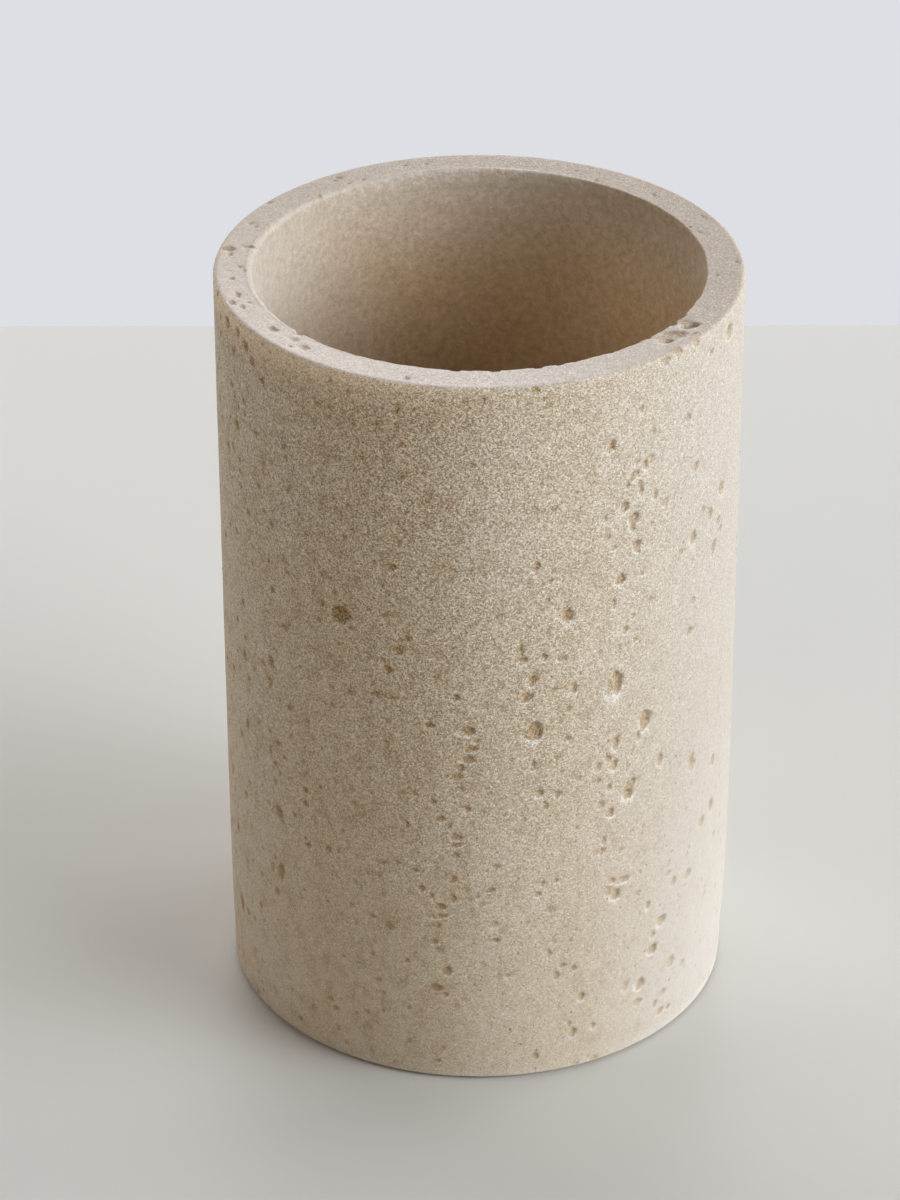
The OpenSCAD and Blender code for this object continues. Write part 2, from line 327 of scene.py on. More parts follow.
@dataclass(frozen=True)
class Hollow:
    """One hollow on a real surface, in metres."""

    mouth: Vector
    across: Vector
    along: Vector
    outward: Vector
    half_wide: float
    half_tall: float
    deep: float
    bend: float
    form: Form
    seed: int
    fine: bool = True

    ragged: float = 0.26
    ragged_most: float = 1.35
    slant: float = 0.25
    slant_held: Pair = (0.2, 2.0)
    shift: float = 0.35
    bend_middle: float = 0.3
    skirt_wide: float = 1.7
    skirt_share: float = 0.16
    halo: float = 0.5
    halo_middle: float = 0.6
    halo_upper_shade: float = 0.5
    halo_least: float = 0.15
    stain_power: float = 0.6
    lip_highlight_middle: float = 0.3
    lip_highlight_fall: float = 0.8
    round_from: float = 0.7 * MM
    lobe: float = 0.75 * MM
    lobe_share: float = 0.9
    crumb: float = 0.4 * MM
    crumb_push: float = 0.14
    full_stain: float = 0.18 * MM

    def ends(self) -> tuple[Vector, Vector, float]:
        """Give the stretch that the hollow covers.

        Returns:
            The two ends of its middle line, and the reach on each side of that line.
        """
        reach = min(self.half_wide, self.half_tall)
        line = self.along if self.half_tall > self.half_wide else self.across
        half = max(self.half_wide, self.half_tall) - reach
        return self.mouth - line * half, self.mouth + line * half, reach

    def depth_at(self, points: np.ndarray) -> tuple[np.ndarray, np.ndarray, np.ndarray]:
        """Work out how deep the hollow is below its mouth.

        Args:
            points: Places near the hollow, one row each.

        Returns:
            For each place its depth, how far it lies in the soft dip on the hollow's lower side, where a
            painted highlight goes, and how strongly the hollow is stained there from 0 to 1.
        """
        away = points - np.array(self.mouth)
        size = min(self.half_wide, self.half_tall)
        ragged = self.ragged * min(self.ragged_most, self.round_from / size)
        grain = points / (min(size, self.lobe) * self.lobe_share)
        crumbs = self.crumb_push * lattice_noise(points / self.crumb, self.seed)
        up = away @ np.array(self.along) / self.half_tall
        v = up + ragged * lattice_noise(grain, self.seed + 1)
        u = away @ np.array(self.across) / self.half_wide
        u = u + ragged * lattice_noise(grain, self.seed) + crumbs
        u = u - self.bend * (v * v - self.bend_middle)
        around = np.hypot(u, v)
        skirt = self.deep * self.skirt_share * (1 - np.clip(around / self.skirt_wide, 0, 1) ** 2) ** 2
        pull = self.shift * np.clip(1 - around, 0, 1)
        inward = np.clip(np.hypot(u - pull, v - pull), 0, 1)
        steep, full = self.form.value
        share = (1 - inward**steep) ** full
        tilt = np.clip(1 + self.slant * (u + v) / math.sqrt(2), *self.slant_held)
        strength = min(self.deep / self.full_stain, 1.0) ** 0.5
        # Stain and halo round the pit, darker to its upper side partly as painted shade under the overhang
        halo = self.halo * np.clip(1 - around / self.skirt_wide, 0, 1)
        halo = halo * np.clip(self.halo_middle + self.halo_upper_shade * up, self.halo_least, 1)
        stain = np.maximum(share**self.stain_power, halo) * strength
        # Painted highlight: the soft dip's lower side only
        lip = skirt * np.clip(self.lip_highlight_middle - self.lip_highlight_fall * up, 0, 1)
        return self.deep * share * tilt + skirt, lip, stain


class Ramp(NamedTuple):
    """A range of a value and the range that it is mapped to, held at both ends."""

    low: float
    high: float
    to_low: float = 0.0
    to_high: float = 1.0


HELD = Ramp(0.0, 1.0)
EITHER_WAY = Ramp(-1.0, 1.0)


def mm(low: float, high: float, to_low: float = 0.0, to_high: float = 1.0) -> Ramp:
    """Ramp between two places or heights in millimetres."""
    return Ramp(low * MM, high * MM, to_low, to_high)


def under(low: float, high: float, to_low: float = 0.0, to_high: float = 1.0) -> Ramp:
    """Ramp between two heights, given in millimetres under the top of the rim."""
    return Ramp(CUP_TALL * MM - low * MM, CUP_TALL * MM - high * MM, to_low, to_high)


def linear(colour: Screen) -> tuple[float, ...]:
    """Turn a colour as a screen shows it into the light that a shader works in.

    Args:
        colour: Red, green and blue from 0 to 255.

    Returns:
        The colour with full alpha.
    """
    knee, slope, offset, power = 0.04045, 12.92, 0.055, 2.4
    parts = [level / 255 for level in colour]
    parts = [p / slope if p <= knee else ((p + offset) / (1 + offset)) ** power for p in parts]
    return *parts, 1.0


class NodeBench:
    """Short ways to put nodes into a tree and join them."""

    def __init__(self, tree: Tree) -> None:
        """Keep the tree that the nodes go into."""
        self.tree = tree

    def add(self, kind: str, settings: dict[str, Any] | None = None,
            values: dict[str | int, Any] | None = None) -> Node:
        """Place one node.

        Args:
            kind: Blender's name of the node type.
            settings: Properties of the node.
            values: What each input gets, a value or another node's output.

        Returns:
            The node.
        """
        node = self.tree.nodes.new(kind)
        for name, value in (settings or {}).items():
            setattr(node, name, value)
        for key, value in (values or {}).items():
            self.feed(node.inputs[key], value)
        return node

    def feed(self, socket: Socket, value: Any) -> None:
        """Fill an input.

        Args:
            socket: The input.
            value: A value, or another node's output to join to it.
        """
        if isinstance(value, Socket):
            self.tree.links.new(value, socket)
        else:
            socket.default_value = value

    def math(self, operation: str, *terms: Any) -> Socket:
        """Place a Math node on values or outputs, and give its output."""
        return self.add("ShaderNodeMath", {"operation": operation}, dict(enumerate(terms))).outputs[0]

    def times(self, first: Any, *factors: Any) -> Socket:
        """Multiply a value by each of the factors in turn."""
        return reduce(lambda product, factor: self.math("MULTIPLY", product, factor), factors, first)

    def times_plus(self, value: Any, factor: Any, plus: Any) -> Socket:
        """Multiply a value and add another."""
        return self.math("MULTIPLY_ADD", value, factor, plus)

    def rest(self, share: Any) -> Socket:
        """What a share leaves of 1."""
        return self.math("SUBTRACT", 1.0, share)

    def most(self, first: Any, second: Any) -> Socket:
        """The greater of two values."""
        return self.math("MAXIMUM", first, second)

    def both(self, value: Any, rise: Ramp, fall: Ramp) -> Socket:
        """A band of a value: what it rises to in one ramp, until it falls in the other."""
        return self.math("MINIMUM", self.span(value, rise), self.span(value, fall))

    def vector(self, operation: str, first: Any, second: Any = None) -> Socket:
        """Place a Vector Math node.

        Args:
            operation: Blender's name of the operation.
            first: The vector that it works on.
            second: Second vector, or the scale, where the operation has one.

        Returns:
            The vector, or the value of a dot product.
        """
        values = {0: first}
        if second is not None:
            values["Scale" if operation == "SCALE" else 1] = second
        node = self.add("ShaderNodeVectorMath", {"operation": operation}, values)
        return node.outputs["Value" if operation == "DOT_PRODUCT" else "Vector"]

    def combine(self, x: Any, y: Any, z: Any) -> Socket:
        """Put three values together as a vector."""
        return self.add("ShaderNodeCombineXYZ", values={"X": x, "Y": y, "Z": z}).outputs["Vector"]

    def parts(self, vector: Any) -> tuple[Socket, ...]:
        """Take a vector apart into x, y and z."""
        return tuple(self.add("ShaderNodeSeparateXYZ", values={"Vector": vector}).outputs)

    def blend(self, share: Any, low: Any, high: Any, how: str = "MIX") -> Socket:
        """Mix two colours, each an output or a colour as a screen shows it.

        Args:
            share: Value or output that says how much of the second colour shows.
            low: First colour.
            high: Second colour.
            how: Blender's name of the way they mix.

        Returns:
            The mixed colour.
        """
        node = self.add("ShaderNodeMix", {"data_type": "RGBA", "blend_type": how})
        self.feed(node.inputs["Factor"], share)
        colours = [s for s in node.inputs if s.type == "RGBA"]
        for socket, colour in zip(colours, (low, high)):
            self.feed(socket, linear(colour) if isinstance(colour, tuple) else colour)
        return next(s for s in node.outputs if s.type == "RGBA")

    def span(self, value: Any, ramp: Ramp | tuple[Any, ...], smooth: bool = False) -> Socket:
        """Map a value from one range to another, held at both ends.

        Args:
            value: Value or output to map.
            ramp: The two ranges.
            smooth: Whether the ends ease in and out.

        Returns:
            The mapped value.
        """
        names = ("From Min", "From Max", "To Min", "To Max")
        settings = {"interpolation_type": "SMOOTHSTEP" if smooth else "LINEAR", "clamp": True}
        node = self.add("ShaderNodeMapRange", settings, {"Value": value, **dict(zip(names, ramp))})
        return node.outputs["Result"]

    def noise(self, place: Any, scale: Any, detail: float, roughness: float = 0.5,
              distortion: float = 0.0) -> Node:
        """Place a soft random texture, with a number of patches to the metre and finer layers."""
        return self.add("ShaderNodeTexNoise", {"noise_dimensions": "3D"},
                        {"Vector": place, "Scale": scale, "Detail": detail, "Roughness": roughness,
                         "Distortion": distortion})

    def cells(self, place: Any, scale: Any) -> tuple[Node, Node]:
        """Fill space with random cells, and take each cell's random colour apart."""
        cells = self.add("ShaderNodeTexVoronoi", {"voronoi_dimensions": "3D", "feature": "F1"},
                         {"Vector": place, "Scale": scale, "Randomness": 1.0})
        return cells, self.add("ShaderNodeSeparateColor", values={"Color": cells.outputs["Color"]})

    def bump(self, height: Socket, normal: Socket | None = None) -> Socket:
        """Turn a height into a normal.

        Args:
            height: The height in metres.
            normal: Another normal that it comes on top of.

        Returns:
            The normal.
        """
        values = {"Strength": 1.0, "Distance": 1.0, "Height": height}
        if normal is not None:
            values["Normal"] = normal
        return self.add("ShaderNodeBump", values=values).outputs["Normal"]


def open_tree(name: str, inputs: dict[str, str], outputs: dict[str, str],
              kind: str = "ShaderNodeTree") -> tuple[NodeBench, Node, Node]:
    """Start a node group with named sockets.

    Args:
        name: Name of the group.
        inputs: What each input holds, such as Float or Vector.
        outputs: What each output holds.
        kind: Blender's name of the kind of tree.

    Returns:
        A bench on the group's tree, its input node and its output node.
    """
    tree = bpy.data.node_groups.new(name, kind)
    for way, sockets in (("INPUT", inputs), ("OUTPUT", outputs)):
        for label, held_kind in sockets.items():
            tree.interface.new_socket(label, in_out=way, socket_type=f"NodeSocket{held_kind}")
    return NodeBench(tree), tree.nodes.new("NodeGroupInput"), tree.nodes.new("NodeGroupOutput")


class Scatter(NamedTuple):
    """How small marks are strewn.

    gap is the distance between places for them, share the part of the places that have one, reach
    how far each spreads over its place, and core the part of that reach that lies flat.
    """

    gap: float
    share: float
    reach: float
    core: float = 0.0


class SurfaceEffects:
    """Shader node groups that the finishes share."""

    CLUMP_SCALE = 0.42
    FINE_TONE = Ramp(0.0, 1.0, -0.85, 0.85)
    CLUMP_TONE = Ramp(0.0, 1.0, -0.25, 0.25)
    DOME = Ramp(0.0, 0.8, 1.0, 0.0)
    UNEVEN_LIFT = 0.6
    CLOUD_TONE = Ramp(0.28, 0.72, -1.0, 1.0)
    CLOUD_DETAIL = (4.0, 0.62, 0.3)
    PUSH_SCALE = 1600.0
    PUSH = 0.5 * MM
    DOT_REACH = Ramp(0.0, 1.0, 0.45, 1.0)

    def __init__(self) -> None:
        """Build each group once."""
        self.sand = self.sand_grain()
        self.mottle = self.soft_mottle()
        self.pinholes = self.pinhole_dots()

    def sand_grain(self) -> Tree:
        """Packed grains, each with a tone of its own.

        Returns:
            A group that gives Tone from -1 to 1, Glint and Dark from 0 to 1, Height, and Facet,
            a random vector for each grain.
        """
        bench, start, end = open_tree(
            "sand_grain",
            {"Vector": "Vector", "Grain Size": "Float", "Glint Share": "Float", "Dark Share": "Float"},
            {"Tone": "Float", "Glint": "Float", "Dark": "Float", "Height": "Float", "Facet": "Vector"},
        )
        place = start.outputs["Vector"]
        scale = bench.math("DIVIDE", 1.0, start.outputs["Grain Size"])
        cells, chance = bench.cells(place, scale)
        _, clump_chance = bench.cells(place, bench.times(scale, self.CLUMP_SCALE))
        fine_tone = bench.span(chance.outputs["Red"], self.FINE_TONE)
        clump_tone = bench.span(clump_chance.outputs["Red"], self.CLUMP_TONE)
        bench.feed(end.inputs["Tone"], bench.math("ADD", fine_tone, clump_tone))
        for name, chosen in (("Glint", "Green"), ("Dark", "Blue")):
            least = bench.rest(start.outputs[f"{name} Share"])
            bench.feed(end.inputs[name], bench.math("GREATER_THAN", chance.outputs[chosen], least))
        dome = bench.span(cells.outputs["Distance"], self.DOME)
        lift = bench.times_plus(chance.outputs["Green"], self.UNEVEN_LIFT, dome)
        bench.feed(end.inputs["Height"], lift)
        facet = bench.vector("SUBTRACT", cells.outputs["Color"], (0.5, 0.5, 0.5))
        bench.feed(end.inputs["Facet"], facet)
        return bench.tree

    def soft_mottle(self) -> Tree:
        """Cloudy change of tone with a little stretch up and down.

        Returns:
            A group that gives Tone from about -1 to 1.
        """
        inputs = {"Vector": "Vector", "Patch Size": "Float", "Flatness": "Float"}
        bench, start, end = open_tree("soft_mottle", inputs, {"Tone": "Float"})
        scale = bench.math("DIVIDE", 1.0, start.outputs["Patch Size"])
        x, y, z = bench.parts(start.outputs["Vector"])
        place = bench.combine(x, y, bench.times(z, start.outputs["Flatness"]))
        cloud = bench.noise(place, scale, *self.CLOUD_DETAIL)
        bench.feed(end.inputs["Tone"], bench.span(cloud.outputs["Fac"], self.CLOUD_TONE))
        return bench.tree

    def pinhole_dots(self) -> Tree:
        """Scattered pinholes too small to be worth their own mesh.

        Returns:
            A group that gives Mask from 0 to 1.
        """
        inputs = {"Vector": "Vector", "Spacing": "Float", "Share": "Float", "Reach": "Float",
                  "Core": "Float"}
        bench, start, end = open_tree("pinhole_dots", inputs, {"Mask": "Float"})
        place = start.outputs["Vector"]
        scale = bench.math("DIVIDE", 1.0, start.outputs["Spacing"])
        rough = bench.noise(place, self.PUSH_SCALE, 1.0)
        push = bench.vector("SCALE", rough.outputs["Color"], self.PUSH)
        cells, chance = bench.cells(bench.vector("ADD", place, push), scale)
        picked = bench.math("LESS_THAN", chance.outputs["Red"], start.outputs["Share"])
        reach = bench.times(start.outputs["Reach"], bench.span(chance.outputs["Green"], self.DOT_REACH))
        inner = bench.times(reach, start.outputs["Core"])
        slope = bench.span(cells.outputs["Distance"], (inner, reach, 1.0, 0.0), smooth=True)
        bench.feed(end.inputs["Mask"], bench.times(picked, slope))
        return bench.tree

    def grain(self, bench: NodeBench, place: Socket, size: float, glint: float, dark: float) -> Node:
        """Use the sand grain, with its size and the shares of grains that glint and are dark."""
        return bench.add("ShaderNodeGroup", {"node_tree": self.sand},
                         {"Vector": place, "Grain Size": size, "Glint Share": glint,
                          "Dark Share": dark})

    def cloud(self, bench: NodeBench, place: Socket, size: float, flatness: float = 1.0) -> Socket:
        """Use the mottle, whose patches are taller than wide where the flatness is under 1."""
        values = {"Vector": place, "Patch Size": size, "Flatness": flatness}
        return bench.add("ShaderNodeGroup", {"node_tree": self.mottle}, values).outputs["Tone"]

    def dots(self, bench: NodeBench, place: Socket, scatter: Scatter) -> Socket:
        """Use the pinholes, strewn in a given way."""
        values = {"Vector": place, **dict(zip(("Spacing", "Share", "Reach", "Core"), scatter))}
        return bench.add("ShaderNodeGroup", {"node_tree": self.pinholes}, values).outputs["Mask"]


def new_material(name: str) -> tuple[Material, NodeBench, Node, Socket]:
    """Start a material.

    Args:
        name: Name of the material.

    Returns:
        The material, a bench on its tree, its Principled shader, and the place on the piece.
    """
    material = bpy.data.materials.new(name)
    material.use_nodes = True
    bench = NodeBench(material.node_tree)
    shader = next(n for n in material.node_tree.nodes if n.bl_idname == "ShaderNodeBsdfPrincipled")
    return material, bench, shader, bench.add("ShaderNodeTexCoord").outputs["Object"]


def dress(bench: NodeBench, shader: Node, colour: Socket, rough: Socket,
          normal: Socket | None = None) -> None:
    """Give a Principled shader what a finish has worked out.

    Args:
        bench: Bench of the material.
        shader: The shader.
        colour: Its colour.
        rough: Its roughness.
        normal: Its normal, where the finish has one.
    """
    bench.feed(shader.inputs["Base Color"], colour)
    bench.feed(shader.inputs["Roughness"], rough)
    if normal is not None:
        bench.feed(shader.inputs["Normal"], normal)


class Readings(NamedTuple):
    """The bench and the groups of the cast stone, and what its nodes know about a place."""

    bench: NodeBench
    effects: SurfaceEffects
    place: Socket
    side: Socket
    level: Socket
    pitted: Socket
    highlight_dip: Socket
    sanded: Socket
    edge: Socket
    cavity: Socket
    sand: Node
    streak: Socket
    blotch: Socket
    drift: Socket
    outside: Socket
    # film: the lit right side, where painted light and calmer grain are laid; not a resin coat
    film: Socket
    shaded: Socket
    zone: Socket
    # Painted warm light in the band where the lit side turns into shade
    painted_warm_band: Socket
    pale_band: Socket
    # Painted highlight along the rounding below the rim
    painted_highlight_band: Socket


@dataclass(frozen=True)
class CastStoneFinish:
    """Sand bound in pale warm resin, tan where air left pits, greyer where the rim is sanded.

    Light and shade are painted into several of its colours: the lit right side, the rim towards its
    front, the cavity, the pits' lower lips, the bands under the rim and the pale worn edges.
    In the ramps' names, across runs from the cup's left to its right, rise and fall run up it.
    """

    body: Screen = (212, 195, 171)
    # Random warm patches, and the painted warm light where the lit side turns into shade
    warm_patch: Screen = (193, 171, 139)
    # film here is painted light, not a resin coat: the lit right side bluer and paler, and paler still low
    # down as painted bounce from the floor
    film: Screen = (187, 176, 162)
    lit_side_low_bounce: Screen = (201, 191, 180)
    blotch: Screen = (168, 137, 98)
    # Painted shade under the rim's edge, on the shaded side
    painted_rim_shade: Screen = (184, 154, 112)
    # Painted highlight along the rounding below the rim
    painted_rim_highlight: Screen = (242, 217, 184)
    # Cavity: its middle darker, partly as painted shade; its lit left wall and its mouth paler as painted
    # light
    inside: Screen = (193, 165, 130)
    inside_right: Screen = (214, 186, 146)
    inside_painted_light: Screen = (194, 181, 165)
    # Sanded rim: paler towards the front left as painted light, dimmer to the back
    rim_sanded_dim: Screen = (177, 162, 147)
    rim_sanded_lit: Screen = (218, 205, 193)
    # Worn pale edges, partly a painted highlight: dulled on the shaded left as painted shade, tan on the
    # right
    edge: Screen = (228, 216, 201)
    edge_tan: Screen = (196, 172, 142)
    edge_shaded: Screen = (190, 174, 153)
    # Painted highlight on the lower lips of pits
    lip: Screen = (234, 225, 212)
    pit: Screen = (155, 120, 69)
    # Bright grains: partly pale sand, partly a painted glint
    glint: Screen = (241, 231, 214)
    dark: Screen = (139, 106, 70)

    grain_size: float = 0.17 * MM
    glint_chance: float = 0.09
    dark_chance: float = 0.08
    patch_size: float = 9 * MM
    patch_flat: float = 0.6
    blotch_size: float = 2.4 * MM
    blotch_flat: float = 0.8
    streak_size: float = 26 * MM
    streak_flat: float = 0.35
    speckle_size: float = 1.0 * MM
    pinholes: Scatter = Scatter(2 * MM, 0.35, 0.16, 0.45)
    dents: Scatter = Scatter(2.3 * MM, 0.75, 0.42)
    dimples: Scatter = Scatter(1.9 * MM, 0.42, 0.40)

    lit_side_across: Ramp = mm(8, 35)
    lit_side_fall: Ramp = mm(50, 10)
    lit_side_share: float = 0.8
    shade_across: Ramp = mm(-35, 8, 1.0, 0.2)
    zone_streak: float = 0.4
    drift_share: float = 0.5
    drift_warm: Ramp = Ramp(-0.8, 0.9, 0.0, 0.75)
    painted_warm_from: Ramp = mm(-30, -16)
    painted_warm_until: Ramp = mm(2, -7)
    painted_warm_gain: float = 0.28
    pale_from: Ramp = mm(-4, 2)
    pale_until: Ramp = mm(15, 8)
    pale_loss: float = -0.5
    waist_from: Ramp = mm(36, 50)
    waist_until: Ramp = mm(88, 72)
    waist_gain: float = 0.22
    blotch_tone: Ramp = Ramp(-0.1, 1.0, 0.0, 0.62)
    blotch_painted_warm: float = 0.35
    blotch_zone: Ramp = Ramp(0.0, 1.0, 0.55, 1.0)
    painted_rim_shade_rise: Ramp = under(8, 1.4)
    painted_rim_shade_share: float = 0.62
    glow_rise: Ramp = under(6, 1)
    glow_power: float = 1.5
    glow_across: Ramp = mm(4, -19, 0.05, 0.9)

    inside_across: Ramp = mm(0, 24)
    inside_lit_across: Ramp = mm(-10, -33)
    inside_lit_rise: Ramp = under(42, 12, 0.3, 1.0)
    inside_lit_top_rise: Ramp = under(18, 2, 0.0, 0.7)
    rim_light_way: Triple = (-11.0, -24.0, 0.0)
    rim_light_ramp: Ramp = Ramp(-0.2, 0.9)
    rim_share: float = 0.9
    tan_across: Ramp = mm(10, 26)
    tan_rise: Ramp = under(5, 3)
    edge_shaded_across: Ramp = mm(0, -26, 0.0, 0.9)
    worn_tone: Ramp = Ramp(-0.8, 0.8, 0.3, 0.75)

    dot_share: float = 0.75
    dent_share: float = 1.2
    dimple_across: Ramp = mm(-8, 12)
    dimple_streak: Ramp = Ramp(-0.6, 0.5, 0.35, 1.0)
    dimple_stain: float = 0.3
    lip_highlight_dip: Ramp = Ramp(0.002, 0.014)
    lip_highlight_pit: Ramp = Ramp(0.1, 0.4, 1.0, 0.0)
    lip_highlight_from: Ramp = mm(-26, 0, 0.12, 1.0)
    lip_highlight_until: Ramp = mm(19, 31, 1.0, 0.3)
    lip_highlight_share: float = 0.7
    stain_grain: float = 0.30
    stain_pit: Ramp = Ramp(0.05, 1.0, 0.0, 0.95)
    stain_sanded: Ramp = Ramp(0.0, 1.0, 1.0, 0.75)
    # The stain is stronger on the shaded left and fades low on the lit right: painted shade and light
    stain_shade_across: Ramp = mm(-12, 16, 1.0, 0.65)
    lit_fade_across: Ramp = mm(10, 30)
    lit_fade_fall: Ramp = mm(55, 15)
    stain_lit_fade: Ramp = Ramp(0.0, 1.0, 1.0, 0.95)

    calm_cavity: float = 0.86
    calm_painted_highlight: Ramp = Ramp(0.0, 1.0, 1.0, 0.55)
    calm_lit_side: Ramp = mm(15, 85, 0.85, 0.4)
    calm_edge: float = 0.25
    calm_sanded: float = 0.48
    calm_rise: Ramp = mm(8, 55, 0.62, 1.0)
    grain_contrast: float = 0.30
    contrast_rise: Ramp = mm(10, 98, 0.5, 1.5)
    contrast_painted_warm: float = 0.2
    contrast_across: Ramp = mm(-14, 14, 1.2, 0.82)
    contrast_pit: float = 1.0
    drift_shade: float = 0.04
    speckle_contrast: float = 0.22
    speckle_inside: float = 0.87
    speckle_outside: float = 0.13
    speckle_across: Ramp = mm(-32, -18, 0.6, 1.0)
    red_sway: float = 0.94
    blue_sway: float = 1.22
    glint_share: float = 0.6
    dark_share: float = 0.6

    roughness: float = 0.62
    rough_grain: float = 0.10
    rough_glint: float = 0.35
    specular: float = 0.5
    grain_lift: float = 0.02 * MM
    dot_lift: float = 0.10 * MM
    dent_lift: float = 0.17 * MM
    dimple_lift: float = 0.11 * MM
    ripple_size: float = 2.6 * MM
    ripple_detail: Pair = (3.0, 0.55)
    ripple_lift: float = 0.14 * MM
    chippy_size: float = 0.5 * MM
    chippy_lift: float = 0.12 * MM
    bead_size: float = 1.0 * MM
    bead_lift: float = 0.07 * MM
    facet_turn: float = 0.34

    def read(self, bench: NodeBench, effects: SurfaceEffects, place: Socket) -> Readings:
        """Lay out what the rest of the nodes read.

        Args:
            bench: Bench of the material.
            effects: Node groups that the finishes share.
            place: Place on the piece.

        Returns:
            The readings.
        """
        pitted, highlight_dip, sanded, edge, cavity = (
            bench.add("ShaderNodeAttribute", {"attribute_name": name}).outputs["Fac"]
            for name in ("pitted", "highlight_dip", "sanded", "edge", "cavity"))
        sand = effects.grain(bench, place, self.grain_size, self.glint_chance, self.dark_chance)
        cloud = effects.cloud(bench, place, self.patch_size, self.patch_flat)
        blotch = effects.cloud(bench, place, self.blotch_size, self.blotch_flat)
        streak = effects.cloud(bench, place, self.streak_size, self.streak_flat)
        side, _, level = bench.parts(place)
        outside = bench.rest(bench.most(cavity, sanded))
        # Painted light of the lit right side, on the outside wall only
        film = bench.times(bench.span(side, self.lit_side_across, smooth=True), outside)
        shaded = bench.span(side, self.shade_across)
        zone = bench.times(bench.span(bench.times_plus(streak, self.zone_streak, shaded), HELD), outside)
        drift = bench.times_plus(streak, self.drift_share, bench.times(cloud, self.drift_share))
        # Painted warm light where the lit side turns into shade
        painted_warm_band = bench.both(side, self.painted_warm_from, self.painted_warm_until)
        pale_band = bench.both(side, self.pale_from, self.pale_until)
        # Painted highlight along the rounding below the rim, mostly on the front left
        painted_highlight_band = bench.math("POWER", bench.span(level, self.glow_rise), self.glow_power)
        painted_highlight_band = bench.times(painted_highlight_band, bench.span(side, self.glow_across))
        return Readings(bench, effects, place, side, level, pitted, highlight_dip, sanded, edge, cavity, sand,
                        streak, blotch, drift, outside, film, shaded, zone, painted_warm_band, pale_band, painted_highlight_band)

    def wall_colour(self, at: Readings) -> Socket:
        """Mix the outside wall's colour: bands, blotches, painted shade and highlight under the rim,
        painted light on the lit side.

        Args:
            at: The readings.

        Returns:
            The colour.
        """
        bench = at.bench
        waist = bench.both(at.level, self.waist_from, self.waist_until)
        spared = bench.times_plus(at.pale_band, self.pale_loss, 1.0)
        # Warm patches: random drift, plus the painted warm band where light turns into shade
        warm = bench.times_plus(at.painted_warm_band, self.painted_warm_gain, bench.span(at.drift, self.drift_warm))
        warm = bench.times_plus(bench.times(at.pale_band, waist), self.waist_gain,
                                bench.times(warm, spared))
        colour = bench.blend(warm, self.body, self.warm_patch)
        blotched = bench.times(bench.span(at.blotch, self.blotch_tone),
                               bench.times_plus(at.painted_warm_band, self.blotch_painted_warm, spared),
                               bench.span(at.zone, self.blotch_zone))
        colour = bench.blend(blotched, colour, self.blotch)
        # Painted shade under the rim, on the shaded side
        below = bench.times(bench.span(at.level, self.painted_rim_shade_rise), at.shaded, self.painted_rim_shade_share)
        colour = bench.blend(below, colour, self.painted_rim_shade)
        # Painted highlight below the rim
        colour = bench.blend(at.painted_highlight_band, colour, self.painted_rim_highlight)
        # Painted light of the lit right side, paler low down as painted bounce from the floor
        film = bench.blend(bench.span(at.level, self.lit_side_fall), self.film, self.lit_side_low_bounce)
        return bench.blend(bench.times(at.film, self.lit_side_share), colour, film)

    def add_cavity_and_rim(self, at: Readings, colour: Socket) -> Socket:
        """Lay the colours of the cavity, the sanded rim and the worn edges over the wall's, with painted
        light and shade in each.

        Args:
            at: The readings.
            colour: The wall's colour.

        Returns:
            The colour.
        """
        bench = at.bench
        # Painted light on the cavity's lit left wall and near its mouth
        pale = bench.times(bench.span(at.side, self.inside_lit_across),
                           bench.span(at.level, self.inside_lit_rise))
        pale = bench.most(pale, bench.span(at.level, self.inside_lit_top_rise))
        inside = bench.blend(bench.span(at.side, self.inside_across), self.inside, self.inside_right)
        colour = bench.blend(at.cavity, colour, bench.blend(pale, inside, self.inside_painted_light))
        # Painted light: the sanded rim paler towards the front left
        toward_rim_light = bench.vector("DOT_PRODUCT", at.place, self.rim_light_way)
        rim = bench.blend(bench.span(toward_rim_light, self.rim_light_ramp), self.rim_sanded_dim, self.rim_sanded_lit)
        colour = bench.blend(bench.times(at.sanded, self.rim_share), colour, rim)
        # Worn edges, partly a painted highlight, dulled on the shaded left
        tan = bench.times(bench.span(at.side, self.tan_across), bench.span(at.level, self.tan_rise))
        worn = bench.blend(tan, self.edge, self.edge_tan)
        worn = bench.blend(bench.span(at.side, self.edge_shaded_across), worn, self.edge_shaded)
        return bench.blend(bench.times(at.edge, bench.span(at.blotch, self.worn_tone)), colour, worn)

    def small_marks(self, at: Readings) -> tuple[Socket, ...]:
        """Strew the hollows that are too small for the mesh.

        Args:
            at: The readings.

        Returns:
            Masks of the pinholes, of the shaded side's dents and of the lit side's dimples.
        """
        bench = at.bench
        strewn = (
            (self.pinholes, bench.times(at.outside, self.dot_share)),
            (self.dents, bench.times(at.zone, self.dent_share)),
            (self.dimples, bench.times(at.outside, bench.span(at.side, self.dimple_across),
                                       bench.span(at.streak, self.dimple_streak))),
        )
        return tuple(bench.times(at.effects.dots(bench, at.place, scatter), where)
                     for scatter, where in strewn)

    def stain(self, at: Readings, marks: tuple[Socket, ...]) -> Socket:
        """Work out how strongly a place is stained by its pit or by a small mark: more on the shaded left
        as painted shade, less low on the lit right as painted light.

        Args:
            at: The readings.
            marks: Masks of the small marks.

        Returns:
            A share from 0 to 1.
        """
        bench = at.bench
        dots, dents, dimples = marks
        uneven = bench.times(at.pitted, self.stain_grain)
        filled = bench.times_plus(at.sand.outputs["Tone"], uneven, at.pitted)
        stain = bench.most(bench.span(filled, self.stain_pit), bench.most(dots, dents))
        stain = bench.most(stain, bench.times(dimples, self.dimple_stain))
